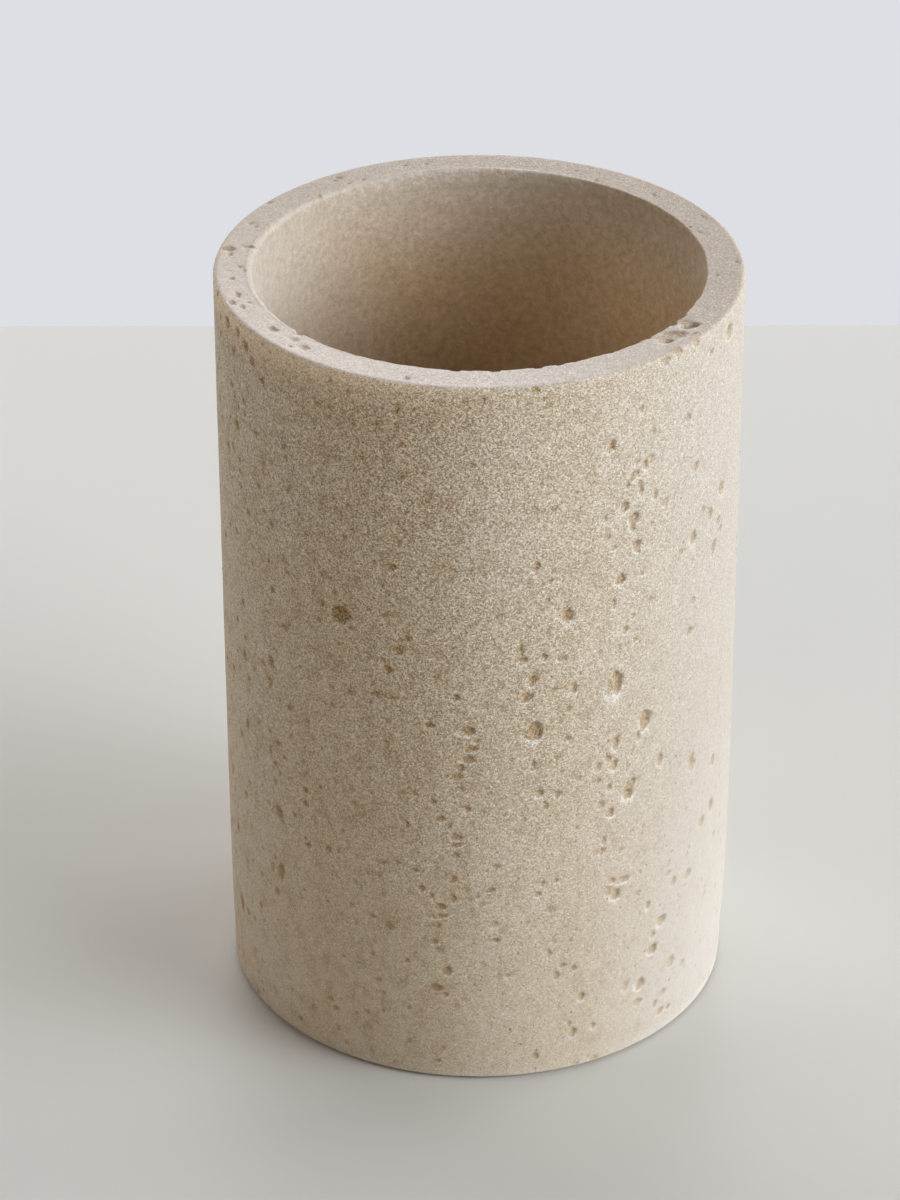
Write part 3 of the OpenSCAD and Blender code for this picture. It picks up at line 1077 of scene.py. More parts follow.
        # Painted light: stain fades low on the lit right
        lit_fade = bench.times(bench.span(at.side, self.lit_fade_across),
                             bench.span(at.level, self.lit_fade_fall))
        return bench.times(stain, bench.span(at.sanded, self.stain_sanded),
                           bench.span(at.side, self.stain_shade_across), bench.span(lit_fade, self.stain_lit_fade))

    def grain_share(self, at: Readings) -> Socket:
        """Work out how much of the grain shows: less in the cavity, low down, on worn edges, where sanding
        evens it out and under painted light.

        Args:
            at: The readings.

        Returns:
            A share from 0 to 1.
        """
        bench = at.bench
        return bench.times(
            bench.rest(bench.times(at.cavity, self.calm_cavity)),
            bench.span(at.painted_highlight_band, self.calm_painted_highlight),
            bench.rest(bench.times(at.film, bench.span(at.level, self.calm_lit_side))),
            bench.rest(bench.times(at.edge, self.calm_edge)),
            bench.rest(bench.times(at.sanded, self.calm_sanded)),
            bench.span(at.level, self.calm_rise),
        )

    def shades(self, at: Readings, calm: Socket) -> Socket:
        """Work out the light and dark of the single grains.

        Args:
            at: The readings.
            calm: How much of the grain shows.

        Returns:
            Three factors, for red, green and blue.
        """
        bench = at.bench
        contrast = bench.times(
            calm,
            self.grain_contrast,
            bench.span(at.level, self.contrast_rise),
            bench.times_plus(at.painted_warm_band, self.contrast_painted_warm, 1.0),
            bench.span(at.side, self.contrast_across),
            bench.times_plus(at.pitted, self.contrast_pit, 1.0),
        )
        shade = bench.times_plus(at.sand.outputs["Tone"], contrast, 1.0)
        shade = bench.times_plus(at.drift, self.drift_shade, shade)
        soft = bench.times(bench.times_plus(at.cavity, self.speckle_inside, self.speckle_outside),
                           self.speckle_contrast, bench.span(at.side, self.speckle_across))
        speckle = at.effects.cloud(bench, at.place, self.speckle_size)
        shade = bench.times_plus(speckle, soft, shade)
        sway = bench.math("SUBTRACT", shade, 1.0)
        return bench.combine(bench.times_plus(sway, self.red_sway, 1.0), shade,
                             bench.times_plus(sway, self.blue_sway, 1.0))

    def relief(self, at: Readings, calm: Socket, marks: tuple[Socket, ...]) -> Socket:
        """Raise the fine relief: grains, small marks, ripples, chips and resin beads.

        Args:
            at: The readings.
            calm: How much of the grain shows.
            marks: Masks of the small marks.

        Returns:
            The normal.
        """
        bench = at.bench
        ripple = bench.noise(at.place, 1 / self.ripple_size, *self.ripple_detail).outputs["Fac"]
        chippy = bench.noise(at.place, 1 / self.chippy_size, 2.0).outputs["Fac"]
        bead = bench.noise(at.place, 1 / self.bead_size, 1.0).outputs["Fac"]
        height = bench.times(at.sand.outputs["Height"], bench.times(calm, self.grain_lift))
        height = bench.times_plus(bench.times(chippy, at.edge), self.chippy_lift, height)
        for mask, depth in zip(marks, (self.dot_lift, self.dent_lift, self.dimple_lift)):
            height = bench.times_plus(mask, -depth, height)
        height = bench.times_plus(ripple, self.ripple_lift, height)
        height = bench.times_plus(bench.times(bead, at.film), self.bead_lift, height)
        facet = bench.vector("SCALE", at.sand.outputs["Facet"], bench.times(calm, self.facet_turn))
        facing = bench.add("ShaderNodeNewGeometry").outputs["Normal"]
        return bench.bump(height, bench.vector("NORMALIZE", bench.vector("ADD", facing, facet)))

    def make(self, effects: SurfaceEffects) -> Material:
        """Build the material.

        Args:
            effects: Node groups that the finishes share.

        Returns:
            The material.
        """
        material, bench, shader, place = new_material("cast_stone")
        at = self.read(bench, effects, place)
        marks = self.small_marks(at)
        stain, calm = self.stain(at, marks), self.grain_share(at)
        colour = self.add_cavity_and_rim(at, self.wall_colour(at))
        # Painted highlight on the lower lips of pits, on the lit side only
        lip = bench.times(bench.span(at.highlight_dip, self.lip_highlight_dip), bench.span(at.pitted, self.lip_highlight_pit),
                          bench.span(at.side, self.lip_highlight_from), bench.span(at.side, self.lip_highlight_until),
                          self.lip_highlight_share)
        colour = bench.blend(lip, colour, self.lip)
        colour = bench.blend(stain, colour, self.pit)
        colour = bench.blend(1.0, colour, self.shades(at, calm), "MULTIPLY")
        # Bright grains, partly a painted glint
        glint = bench.times(at.sand.outputs["Glint"], bench.times(calm, self.glint_share))
        colour = bench.blend(bench.times(glint, bench.rest(stain)), colour, self.glint)
        dark = bench.times(at.sand.outputs["Dark"], bench.times(calm, self.dark_share))
        colour = bench.blend(dark, colour, self.dark)
        rough = bench.times_plus(bench.times(at.sand.outputs["Tone"], calm), self.rough_grain,
                                 self.roughness)
        rough = bench.math("SUBTRACT", rough, bench.times(glint, self.rough_glint))
        shader.inputs["Specular IOR Level"].default_value = self.specular
        dress(bench, shader, colour, rough, self.relief(at, calm, marks))
        return material


@dataclass(frozen=True)
class CloudyFinish:
    """A smooth stuff with two tones that drift into each other."""

    name: str
    body: Screen
    other: Screen
    patch_size: float
    roughness: float
    rough_sway: float
    lift: float = 0.0

    def make(self, effects: SurfaceEffects) -> Material:
        """Build the material.

        Args:
            effects: Node groups that the finishes share.

        Returns:
            The material.
        """
        material, bench, shader, place = new_material(self.name)
        share = bench.span(effects.cloud(bench, place, self.patch_size), EITHER_WAY)
        colour = bench.blend(share, self.body, self.other)
        rough = bench.times_plus(share, self.rough_sway, self.roughness)
        normal = bench.bump(bench.times(share, self.lift)) if self.lift else None
        dress(bench, shader, colour, rough, normal)
        return material


# Dark mineral grains, brown-black with a dull shine on their facets
DARK_GRAIN = CloudyFinish("dark_grain", (52, 44, 38), (92, 78, 64), 1.1 * MM, 0.5, 0.2)
# Ivory double-sided film, a little cloudy with trapped air
FILM = CloudyFinish("adhesive_film", (226, 221, 206), (208, 199, 176), 5 * MM, 0.35, 0.25, 0.02 * MM)


@dataclass(frozen=True)
class FoamFinish:
    """Dark closed-cell foam with fine cells and a little grit pressed into it."""

    body: Screen = (48, 46, 44)
    pale: Screen = (84, 80, 75)
    grit: Screen = (168, 160, 148)
    cell_size: float = 0.45 * MM
    grit_chance: float = 0.02
    dark_chance: float = 0.10
    patch_size: float = 7 * MM
    tone_share: float = 0.35
    pale_tone: Ramp = Ramp(-0.6, 0.9, 0.0, 0.8)
    grit_share: float = 0.6
    cell_lift: float = 0.06 * MM
    roughness: float = 0.86
    rough_sway: float = 0.06

    def make(self, effects: SurfaceEffects) -> Material:
        """Build the material.

        Args:
            effects: Node groups that the finishes share.

        Returns:
            The material.
        """
        material, bench, shader, place = new_material("pad_foam")
        cells = effects.grain(bench, place, self.cell_size, self.grit_chance, self.dark_chance)
        mixed = bench.times_plus(effects.cloud(bench, place, self.patch_size), self.tone_share,
                                 bench.times(cells.outputs["Tone"], self.tone_share))
        colour = bench.blend(bench.span(mixed, self.pale_tone), self.body, self.pale)
        colour = bench.blend(bench.times(cells.outputs["Glint"], self.grit_share), colour, self.grit)
        rough = bench.times_plus(cells.outputs["Tone"], self.rough_sway, self.roughness)
        height = bench.times(cells.outputs["Height"], -self.cell_lift)
        dress(bench, shader, colour, rough, bench.bump(height))
        return material


def open_growth(name: str, inputs: dict[str, str]) -> tuple[NodeBench, Node, Node]:
    """Start a Geometry Nodes tree with one geometry and a finish in, and one geometry out.

    Args:
        name: Name of the tree.
        inputs: What each further input holds.

    Returns:
        A bench on the tree, its input node and its output node.
    """
    geometry = {"Geometry": "Geometry"}
    inputs = {**geometry, **inputs, "Finish": "Material"}
    return open_tree(name, inputs, geometry, "GeometryNodeTree")


def close_growth(bench: NodeBench, start: Node, end: Node, made: Socket) -> Tree:
    """End a Geometry Nodes tree: make what it made real and give it its finish.

    Args:
        bench: Bench on the tree.
        start: The tree's input node.
        end: The tree's output node.
        made: Geometry that the tree made.

    Returns:
        The tree.
    """
    real = bench.add("GeometryNodeRealizeInstances", values={"Geometry": made})
    dressed = bench.add("GeometryNodeSetMaterial", values={"Geometry": real.outputs["Geometry"],
                                                           "Material": start.outputs["Finish"]})
    bench.feed(end.inputs["Geometry"], dressed.outputs["Geometry"])
    return bench.tree


def turned_shell_tree() -> Tree:
    """Tree that turns a half section once round the upright axis into a closed shell.

    Returns:
        The tree. Its geometry is the half section as points in order, x the radius and z the height.
    """
    bench, start, end = open_growth("turned_shell", {"Turn Steps": "Int", "Weld Distance": "Float"})
    section = start.outputs["Geometry"]
    steps = start.outputs["Turn Steps"]
    count = bench.add("GeometryNodeAttributeDomainSize", values={"Geometry": section})
    rows = count.outputs["Point Count"]
    sheet = bench.add("GeometryNodeMeshGrid",
                      values={"Vertices X": bench.math("ADD", steps, 1.0), "Vertices Y": rows})
    index = bench.add("GeometryNodeInputIndex").outputs["Index"]
    row = bench.math("MODULO", index, rows)
    column = bench.math("FLOOR", bench.math("DIVIDE", index, rows))
    angle = bench.math("DIVIDE", bench.times(column, FULL_TURN), steps)
    where = bench.add("GeometryNodeInputPosition").outputs["Position"]
    picked = bench.add("GeometryNodeSampleIndex", {"data_type": "FLOAT_VECTOR", "domain": "POINT"},
                       {"Geometry": section, "Value": where, "Index": row})
    radius, _, height = bench.parts(picked.outputs["Value"])
    east = bench.times(radius, bench.math("SINE", angle))
    north = bench.times(radius, bench.math("COSINE", angle), -1.0)
    turned = bench.add("GeometryNodeSetPosition", values={"Geometry": sheet.outputs["Mesh"],
                                                          "Position": bench.combine(east, north, height)})
    welded = bench.add("GeometryNodeMergeByDistance",
                       values={"Geometry": turned.outputs["Geometry"],
                               "Distance": start.outputs["Weld Distance"]})
    smooth = bench.add("GeometryNodeSetShadeSmooth", values={"Geometry": welded.outputs["Geometry"]})
    return close_growth(bench, start, end, smooth.outputs["Geometry"])


def scattered_grain_tree() -> Tree:
    """Tree that sets a small angular grain on each point, every one turned and sized by chance.

    Returns:
        The tree. Its geometry is the points.
    """
    deep_share, tall_share = 0.7, 0.55
    inputs = {"Grain Radius": "Float", "Least Size": "Float", "Most Size": "Float", "Seed": "Int"}
    bench, start, end = open_growth("scattered_grains", inputs)
    grain = bench.add("GeometryNodeMeshIcoSphere",
                      values={"Radius": start.outputs["Grain Radius"], "Subdivisions": 1})
    given = start.outputs
    chances = (
        ("FLOAT", {"Min": given["Least Size"], "Max": given["Most Size"], "Seed": given["Seed"]}),
        ("FLOAT_VECTOR", {"Max": (FULL_TURN, FULL_TURN, FULL_TURN), "Seed": given["Seed"]}),
    )
    drawn = []
    for kind, values in chances:
        node = bench.add("FunctionNodeRandomValue", {"data_type": kind})
        for socket in [s for s in node.inputs if s.enabled and s.name in values]:
            bench.feed(socket, values[socket.name])
        drawn.append(next(s for s in node.outputs if s.enabled))
    size, turn = drawn
    slim = bench.combine(size, bench.times(size, deep_share), bench.times(size, tall_share))
    placed = bench.add("GeometryNodeInstanceOnPoints",
                       values={"Points": start.outputs["Geometry"], "Instance": grain.outputs["Mesh"],
                               "Rotation": turn, "Scale": slim})
    return close_growth(bench, start, end, placed.outputs["Instances"])


def grow(name: str, tree: Tree, points: Sequence[tuple[float, float, float]],
         inputs: dict[str, Any]) -> Solid:
    """Run a Geometry Nodes tree on points and keep what it makes as a plain mesh.

    Args:
        name: Name of the piece.
        tree: The tree.
        points: Points that the tree starts from.
        inputs: Value of each of the tree's inputs by its name.

    Returns:
        An object at the origin with the finished mesh and no modifier.
    """
    mesh = bpy.data.meshes.new(name)
    mesh.from_pydata(list(points), [], [])
    piece = bpy.data.objects.new(name, mesh)
    bpy.context.scene.collection.objects.link(piece)
    modifier = piece.modifiers.new("grow", "NODES")
    modifier.node_group = tree
    for item in tree.interface.items_tree:
        if item.item_type == "SOCKET" and item.in_out == "INPUT" and item.name in inputs:
            modifier[item.identifier] = inputs[item.name]
    ready = piece.evaluated_get(bpy.context.evaluated_depsgraph_get())
    made = bpy.data.meshes.new_from_object(ready)
    piece.modifiers.remove(modifier)
    piece.data = made
    made.name = name
    bpy.data.meshes.remove(mesh)
    return piece


def face_outwards(piece: Solid) -> None:
    """Turn a closed mesh's faces outwards if they point inwards.

    Args:
        piece: The piece.
    """
    body = bmesh.new()
    body.from_mesh(piece.data)
    if body.calc_volume(signed=True) < 0:
        bmesh.ops.reverse_faces(body, faces=body.faces)
    body.to_mesh(piece.data)
    body.free()


def corners(piece: Solid) -> np.ndarray:
    """Read where a mesh's vertices are.

    Args:
        piece: The piece.

    Returns:
        The places, one row each.
    """
    flat = np.empty(len(piece.data.vertices) * 3)
    piece.data.vertices.foreach_get("co", flat)
    return flat.reshape(-1, 3)


def put_corners(piece: Solid, places: np.ndarray) -> None:
    """Move a mesh's vertices to new places."""
    piece.data.vertices.foreach_set("co", places.ravel())
    piece.data.update()


def keep_values(piece: Solid, name: str, values: np.ndarray) -> None:
    """Keep one number for each vertex as a named attribute that a material reads."""
    held = piece.data.attributes.new(name, "FLOAT", "POINT")
    held.data.foreach_set("value", values.astype(np.float32))


class Carver:
    """Presses hollows into a mesh, with small faces only where a hollow needs them."""

    MARGINS = (0.8 * MM, 0.38 * MM, 0.08 * MM)
    LEVEL = 0.01 * MM
    STAIN_REACH = 0.3 * MM
    THROUGH = 2 * MM
    SPILL = 1.2
    TINY = 1e-12

    def __init__(self, hollows: Sequence[Hollow], levels: int) -> None:
        """Keep the hollows and how often the faces round them are halved."""
        self.hollows = hollows
        self.levels = levels

    def near(self, points: np.ndarray, margin: float, last: bool) -> np.ndarray:
        """Tell which places lie near any hollow.

        Args:
            points: Places, one row each.
            margin: How far past its own reach a hollow still counts.
            last: Whether this is the last halving, which only fine hollows get.

        Returns:
            True or False for each place.
        """
        found = np.zeros(len(points), bool)
        for hollow in [h for h in self.hollows if h.fine or not last]:
            low, high, reach = hollow.ends()
            a = np.array(low)
            line = np.array(high) - a
            length = max(float(line @ line), self.TINY)
            limit = reach + margin
            box = np.all(np.abs(points - np.array(hollow.mouth)) < limit + math.sqrt(length), axis=1)
            rows = np.nonzero(box & ~found)[0]
            away = points[rows] - a
            share = np.clip(away @ line / length, 0, 1)
            gap = np.linalg.norm(away - share[:, None] * line, axis=1)
            found[rows[gap < limit]] = True
        return found

    @staticmethod
    def on_ring(place: Vector, ring: tuple[float, float, float]) -> bool:
        """Tell whether a place lies on a ring, given by its two radii and its lowest height."""
        return ring[0] < place.xy.length < ring[1] and place.z > ring[2]

    def refine(self, piece: Solid, ring: tuple[float, float, float] = (0, 0, 0),
               ring_levels: int = 0) -> None:
        """Halve the faces near the hollows, closer and closer in.

        Args:
            piece: The mesh to refine.
            ring: Two radii and the lowest height of a ring whose faces are made shorter first.
            ring_levels: How often they are halved along the ring.
        """
        body = bmesh.new()
        body.from_mesh(piece.data)
        for _ in range(ring_levels):
            around = [e for e in body.edges if all(self.on_ring(v.co, ring) for v in e.verts)
                      and abs(e.verts[0].co.z - e.verts[1].co.z) < self.LEVEL
                      and abs(e.verts[0].co.xy.length - e.verts[1].co.xy.length) < self.LEVEL]
            bmesh.ops.subdivide_edges(body, edges=around, cuts=1, use_grid_fill=True)
        for level in range(self.levels):
            middles = np.array([f.calc_center_median() for f in body.faces])
            chosen = self.near(middles, self.MARGINS[level], level == self.levels - 1)
            body.faces.ensure_lookup_table()
            edges = {e for i in np.nonzero(chosen)[0] for e in body.faces[i].edges}
            bmesh.ops.subdivide_edges(body, edges=list(edges), cuts=1, use_grid_fill=True)
        bmesh.ops.triangulate(body, faces=[f for f in body.faces if len(f.verts) > 4])
        body.to_mesh(piece.data)
        body.free()

    def press(self, places: np.ndarray) -> tuple[np.ndarray, np.ndarray]:
        """Move vertices down to the hollows' floors.

        Args:
            places: Vertices, one row each, changed in place.

        Returns:
            For each vertex, how strongly it is stained from 0 to 1, and how far it lies in a soft dip
            on a hollow's lower side, in metres, where a painted highlight goes.
        """
        pitted, highlight_dip = np.zeros(len(places)), np.zeros(len(places))
        for hollow in self.hollows:
            reach = max(hollow.half_wide, hollow.half_tall) * hollow.skirt_wide * self.SPILL
            mouth, outward = np.array(hollow.mouth), np.array(hollow.outward)
            rows = np.nonzero(np.all(np.abs(places - mouth) < reach + hollow.deep, axis=1))[0]
            if not len(rows):
                continue
            level = (places[rows] - mouth) @ outward
            deep, lip, stain = hollow.depth_at(places[rows])
            close = np.abs(level) < self.THROUGH
            down = np.where(close & (deep > 0), np.clip(level + deep, 0, None), 0)
            places[rows] -= down[:, None] * outward
            mouth_side = close & (level + deep > -self.STAIN_REACH)
            pitted[rows] = np.maximum(pitted[rows], np.where(mouth_side, stain, 0))
            highlight_dip[rows] = np.maximum(highlight_dip[rows], np.where(mouth_side, lip, 0))
        return pitted, highlight_dip


def clamped(values: np.ndarray) -> np.ndarray:
    """Hold values between 0 and 1."""
    return np.clip(values, 0, 1)


def bell(away: np.ndarray, wide: float) -> np.ndarray:
    """A soft hump: 1 where nothing lies between, next to nothing two widths away."""
    return np.exp(-((away / wide) ** 2))


def share_of(noise: np.ndarray) -> np.ndarray:
    """Turn noise from -1 to 1 into a share from 0 to 1."""
    return 0.5 + 0.5 * noise


class Wear(NamedTuple):
    """A worn edge, pale and partly a painted highlight, in millimetres: how far from it the wear is
    strongest, how wide, where it ends.
    """

    inset: float
    wide: float
    ends: float


@dataclass
class CastCup:
    """Cup cast in one piece, with its pits, sanded rim and dark grains."""

    across: float = 75
    tall: float = CUP_TALL
    wall: float = 5.5
    floor: float = 7.5
    draw_tall: float = 31
    draw_in: float = 0.8
    rim_soft: float = 0.75
    rim_crisp: float = 0.2
    foot_soft: float = 0.6
    floor_soft: float = 4
    foot_wide: float = 5.2
    pad_thick: float = 1
    film_thick: float = 0.15
    stand_off: float = 0.35
    recess_soft: float = 0.3

    turn_steps: int = 148
    under_step: float = 3.6
    recess_step: float = 1.0
    recess_crowd: float = 0.1
    foot_step: float = 1.4
    foot_crowd: float = 0.2
    wall_step: float = 1.6
    rim_step: float = 1.0
    cavity_step: float = 2.4
    floor_step: float = 3.2
    small_arc: int = 3
    foot_arc: int = 4
    round_arc: int = 6
    weld: float = 0.00001
    hair: float = 0.01

    wide_edge: float = 3.4
    wide_edge_turn: float = -105
    wide_edge_span: float = 62
    wide_edge_reach: float = 2.6
    broad_deep: float = 0.09
    fine_deep: float = 0.035
    foot_full: float = 0.42
    foot_full_span: float = 0.55
    skin: float = 0.6
    skin_fade: float = 1.5
    dip_deep: float = 0.05
    dip_reach: float = 0.5
    edge_wear: float = 0.14
    wear_down: float = 0.6
    wear_wide: float = 0.6
    wear_tall: float = 1.2
    knob_share: float = 0.6

    pit_levels: int = 3
    fine_from: float = 1.9
    settled: float = 0.05
    depth_share: float = 0.52
    width_share: float = 1.1
    edge_ring: Triple = (0.1, 0.4, 0.4)
    edge_levels: int = 2
    sand_tall: Pair = (0.3, 0.24)
    sand_wide: Pair = (0.1, 0.45)
    sand_ragged: float = 0.3
    sand_patch: float = 3.4
    sand_inner: float = 0.05
    outer_wear: Wear = Wear(0.5, 0.55, 1.6)
    inner_wear: Wear = Wear(0.1, 0.32, 0.6)
    foot_wear: Wear = Wear(0.3, 0.45, 2)
    # The outer edge's pale wear is partly a painted highlight, weaker on the shaded left
    shade_from: float = 4
    shade_wide: float = 16
    shade_loss: float = 0.75
    broken_size: float = 2.6
    broken_share: float = 0.4

    back_bands: tuple[int, ...] = (84, 101, 113, 132, 150, 161, 183, 197, 214, 236, 247, 262)
    band_sway: float = 2.1
    band_start: Pair = (3, 14)
    band_run: Pair = (8, 26)
    band_gap: Pair = (5, 16)
    band_clear: float = 5
    run_clear: float = 4
    back_gap: Pair = (1.6, 4.2)
    back_size: Pair = (0.22, 0.34)
    back_least: float = 0.8
    back_most: float = 3.0
    back_aspect: Pair = (0.8, 1.6)
    back_depth: Pair = (0.22, 0.42)
    back_deepest: float = 0.95
    back_lean: Pair = (-20, 30)
    sheer_from: float = 1.7
    sheer_chance: float = 0.5
    strays: int = 70
    stray_size: Pair = (0.8, 1.3)
    stray_depth: float = 0.25
    stray_turn: Pair = (80, 278)
    stray_clear: float = 3

    back_grains: int = 150
    grain_turn: Pair = (82, 278)
    grain_clear: float = 2
    grain_sunk: float = 0.06
    grain_radius: float = 0.19
    grain_least: float = 0.6
    grain_most: float = 1.15
    grain_seed: int = 5
    seed: int = 41

    WALL_SEED = 1000
    RIM_SEED = 3000
    EDGE_SEED = 4000
    SIGHT_ROUNDS = 4
    TINY = 1e-6
    WANDER = ((19, 7), (5.5, 8), (8, 9), (1.9, 10), (0.8, 11))
    SAND_SEED = 12
    BROKEN_SEED = 13

    def __post_init__(self) -> None:
        """Work out the sizes that follow from the others."""
        self.outer = self.across / 2
        self.bore = self.outer - self.wall
        self.foot_z = self.stand_off
        self.recess_z = self.film_thick + self.pad_thick
        self.floor_z = self.recess_z + self.floor
        self.draw_z = self.foot_z + self.draw_tall
        self.long_r = (self.draw_tall**2 + self.draw_in**2) / (2 * self.draw_in)
        self.long_x = self.outer - self.long_r
        self.recess_r = self.outer - self.draw_in - self.foot_wide
        self.rng = random.Random(self.seed)

    def wall_at(self, z: float) -> float:
        """Work out the radius of the outside wall.

        Args:
            z: Height in millimetres.

        Returns:
            The radius in millimetres.
        """
        if z > self.draw_z:
            return self.outer
        return self.long_x + math.sqrt(self.long_r**2 - (self.draw_z - z) ** 2)

    @staticmethod
    def stretch(start: Pair, end: Pair, step: float, crowd: float = 0.3) -> list[Pair]:
        """Points along a straight part of the half section.

        Args:
            start: First point, radius and height.
            end: Last point, left out.
            step: Greatest gap between points.
            crowd: Gap of the two points that keep each end crisp.

        Returns:
            The points, from the first on.
        """
        length = math.dist(start, end)
        inner = max(length - 2 * crowd, 0)
        count = max(math.ceil(inner / step), 1)
        gaps = [0.0] + [crowd + inner * i / count for i in range(count + 1)]
        return [tuple(s + (e - s) * gap / length for s, e in zip(start, end)) for gap in gaps]

    @staticmethod
    def arc(middle: Pair, radius: float, first: float, last: float, count: int) -> list[Pair]:
        """Points along a round corner of the half section.

        Args:
            middle: Centre of the arc.
            radius: Its radius.
            first: Angle of the first point in degrees.
            last: Angle of the last point, left out.
            count: Number of steps.

        Returns:
            The points, from the first on.
        """
        angles = [math.radians(first + (last - first) * i / count) for i in range(count)]
        return [(middle[0] + radius * math.cos(a), middle[1] + radius * math.sin(a)) for a in angles]

    def foot_section(self) -> list[Pair]:
        """Half section of the underside, from its middle to the top of the foot's draw.

        Returns:
            Points in millimetres, radius and height.
        """
        recess, soft = self.recess_r, self.recess_soft
        ceiling = self.recess_z - soft
        edge_z = self.foot_z + self.foot_soft
        long_inner = self.long_r - self.foot_soft
        edge_x = self.long_x + math.sqrt(long_inner**2 - (self.draw_z - edge_z) ** 2)
        lean = math.degrees(math.asin((self.draw_z - edge_z) / long_inner))
        points = self.stretch((0, self.recess_z), (recess - soft, self.recess_z), self.under_step)
        points += self.arc((recess - soft, ceiling), soft, 90, 0, self.small_arc)
        points += self.stretch((recess, ceiling), (recess, self.foot_z), self.recess_step,
                               self.recess_crowd)
        points += self.stretch((recess, self.foot_z), (edge_x, self.foot_z), self.foot_step,
                               self.foot_crowd)
        points += self.arc((edge_x, edge_z), self.foot_soft, -90, -lean, self.foot_arc)
        touch_z = edge_z - self.foot_soft * math.sin(math.radians(lean))
        count = math.ceil((self.draw_z - touch_z) / self.wall_step)
        heights = [touch_z + (self.draw_z - touch_z) * i / count for i in range(count)]
        return points + [(self.wall_at(z), z) for z in heights]

    def section(self) -> list[Triple]:
        """Half section from the middle of the underside round to the middle of the cavity's floor.

        Returns:
            Points in metres, x the radius and z the height.
        """
        shoulder, crisp = self.tall - self.rim_soft, self.rim_crisp
        knee_x, knee_z = self.bore - self.floor_soft, self.floor_z + self.floor_soft
        points = self.foot_section()
        points += self.stretch((self.outer, self.draw_z), (self.outer, shoulder), self.wall_step)
        points += self.arc((self.outer - self.rim_soft, shoulder), self.rim_soft, 0, 90, self.round_arc)
        points += self.stretch((self.outer - self.rim_soft, self.tall), (self.bore + crisp, self.tall),
                               self.rim_step)
        points += self.arc((self.bore + crisp, self.tall - crisp), crisp, 90, 180, self.small_arc)
        points += self.stretch((self.bore, self.tall - crisp), (self.bore, knee_z), self.cavity_step)
        points += self.arc((knee_x, knee_z), self.floor_soft, 0, -90, self.round_arc)
        points += self.stretch((knee_x, self.floor_z), (0, self.floor_z), self.floor_step)
        points.append((0, self.floor_z))
        return [(r * MM, 0.0, z * MM) for r, z in points]

    def meet_wall(self, camera: StudioCamera, x: float, y: float) -> Vector | None:
        """Find where a pixel's line of sight first meets the outside wall.

        Args:
            camera: The camera of the picture.
            x: Pixel from the left.
            y: Pixel from the top.

        Returns:
            The place in metres, or None where the line misses the cup.
        """
        sight = camera.sight(x, y)
        start = camera.place
        radius = self.outer * MM
        flat = sight.x**2 + sight.y**2
        place = None
        for _ in range(self.SIGHT_ROUNDS):
            half_b = start.x * sight.x + start.y * sight.y
            rest = start.x**2 + start.y**2 - radius**2
            under_root = half_b**2 - flat * rest
            if under_root < 0:
                return None
            place = start + sight * ((-half_b - math.sqrt(under_root)) / flat)
            radius = self.wall_at(place.z / MM) * MM
        return place

    def meet_rim(self, camera: StudioCamera, x: float, y: float) -> Vector:
        """Find where a pixel's line of sight meets the plane of the rim."""
        sight = camera.sight(x, y)
        return camera.place + sight * ((self.tall * MM - camera.place.z) / sight.z)

    def hollow(self, place: Vector, up: Vector, outward: Vector, pit: Pit, seed: int) -> Hollow:
        """Set a pit on the surface.

        Args:
            place: Middle of its mouth.
            up: Direction of its height along the surface.
            outward: Direction out of the surface.
            pit: Its sizes.
            seed: Number that picks its ragged outline.

        Returns:
            The hollow.
        """
        place = place - outward * self.settled * MM
        along = (Matrix.Rotation(-math.radians(pit.lean), 3, outward) @ up).normalized()
        across = along.cross(outward).normalized()
        fine = pit.x > 0 or min(pit.wide, pit.tall) > self.fine_from
        half = self.width_share / 2 * MM
        return Hollow(place, across, along, outward, pit.wide * half, pit.tall * half,
                      pit.deep * self.depth_share * MM, pit.bend, pit.form, seed, fine)

    def wall_hollow(self, place: Vector, pit: Pit, seed: int) -> Hollow:
        """Set a pit on the outside wall."""
        return self.hollow(place, UP, Vector((place.x, place.y, 0)).normalized(), pit, seed)

    def rim_hollow(self, place: Vector, pit: Pit, seed: int) -> Hollow:
        """Set a hollow in the rim's top face."""
        return self.hollow(place, -Vector((place.x, place.y, 0)).normalized(), UP, pit, seed)

    def edge_hollow(self, place: Vector, pit: Pit, seed: int) -> Hollow:
        """Set a chip on the rim's inner edge, pressed in at half a right angle.

        Args:
            place: Where it lies, read on the rim's top.
            pit: Its sizes.
            seed: Number that picks its ragged outline.

        Returns:
            The hollow.
        """
        inward = -Vector((place.x, place.y, 0)).normalized()
        corner = -inward * self.bore * MM + Vector((0, 0, self.tall * MM))
        outward = (inward + UP).normalized()
        corner -= outward * self.rim_crisp * (math.sqrt(2) - 1) * MM
        return self.hollow(corner, (inward - UP).normalized(), outward, pit, seed)

    def seen_hollows(self, camera: StudioCamera) -> list[Hollow]:
        """Hollows whose places are read from the picture.

        Args:
            camera: The camera of the picture.

        Returns:
            The hollows.
        """
        kinds = (
            (WALL_PITS, self.meet_wall, self.wall_hollow, self.WALL_SEED),
            (RIM_PITS, self.meet_rim, self.rim_hollow, self.RIM_SEED),
            (EDGE_CHIPS, self.meet_rim, self.edge_hollow, self.EDGE_SEED),
        )
        made = []
        for table, meet, set_hollow, seed in kinds:
            for number, pit in enumerate(table):
                place = meet(camera, pit.x, pit.y)
                if place is not None:
                    made.append(set_hollow(place, pit, seed + number * 2))
        return made

    def on_wall(self, turn: float, z: float) -> Vector:
        """Find a place on the outside wall.

        Args:
            turn: Turn to the right of the front in degrees.
            z: Height in millimetres.

        Returns:
            The place in metres.
        """
        angle = math.radians(turn)
        radius = self.wall_at(z)
        return Vector((radius * math.sin(angle), -radius * math.cos(angle), z)) * MM

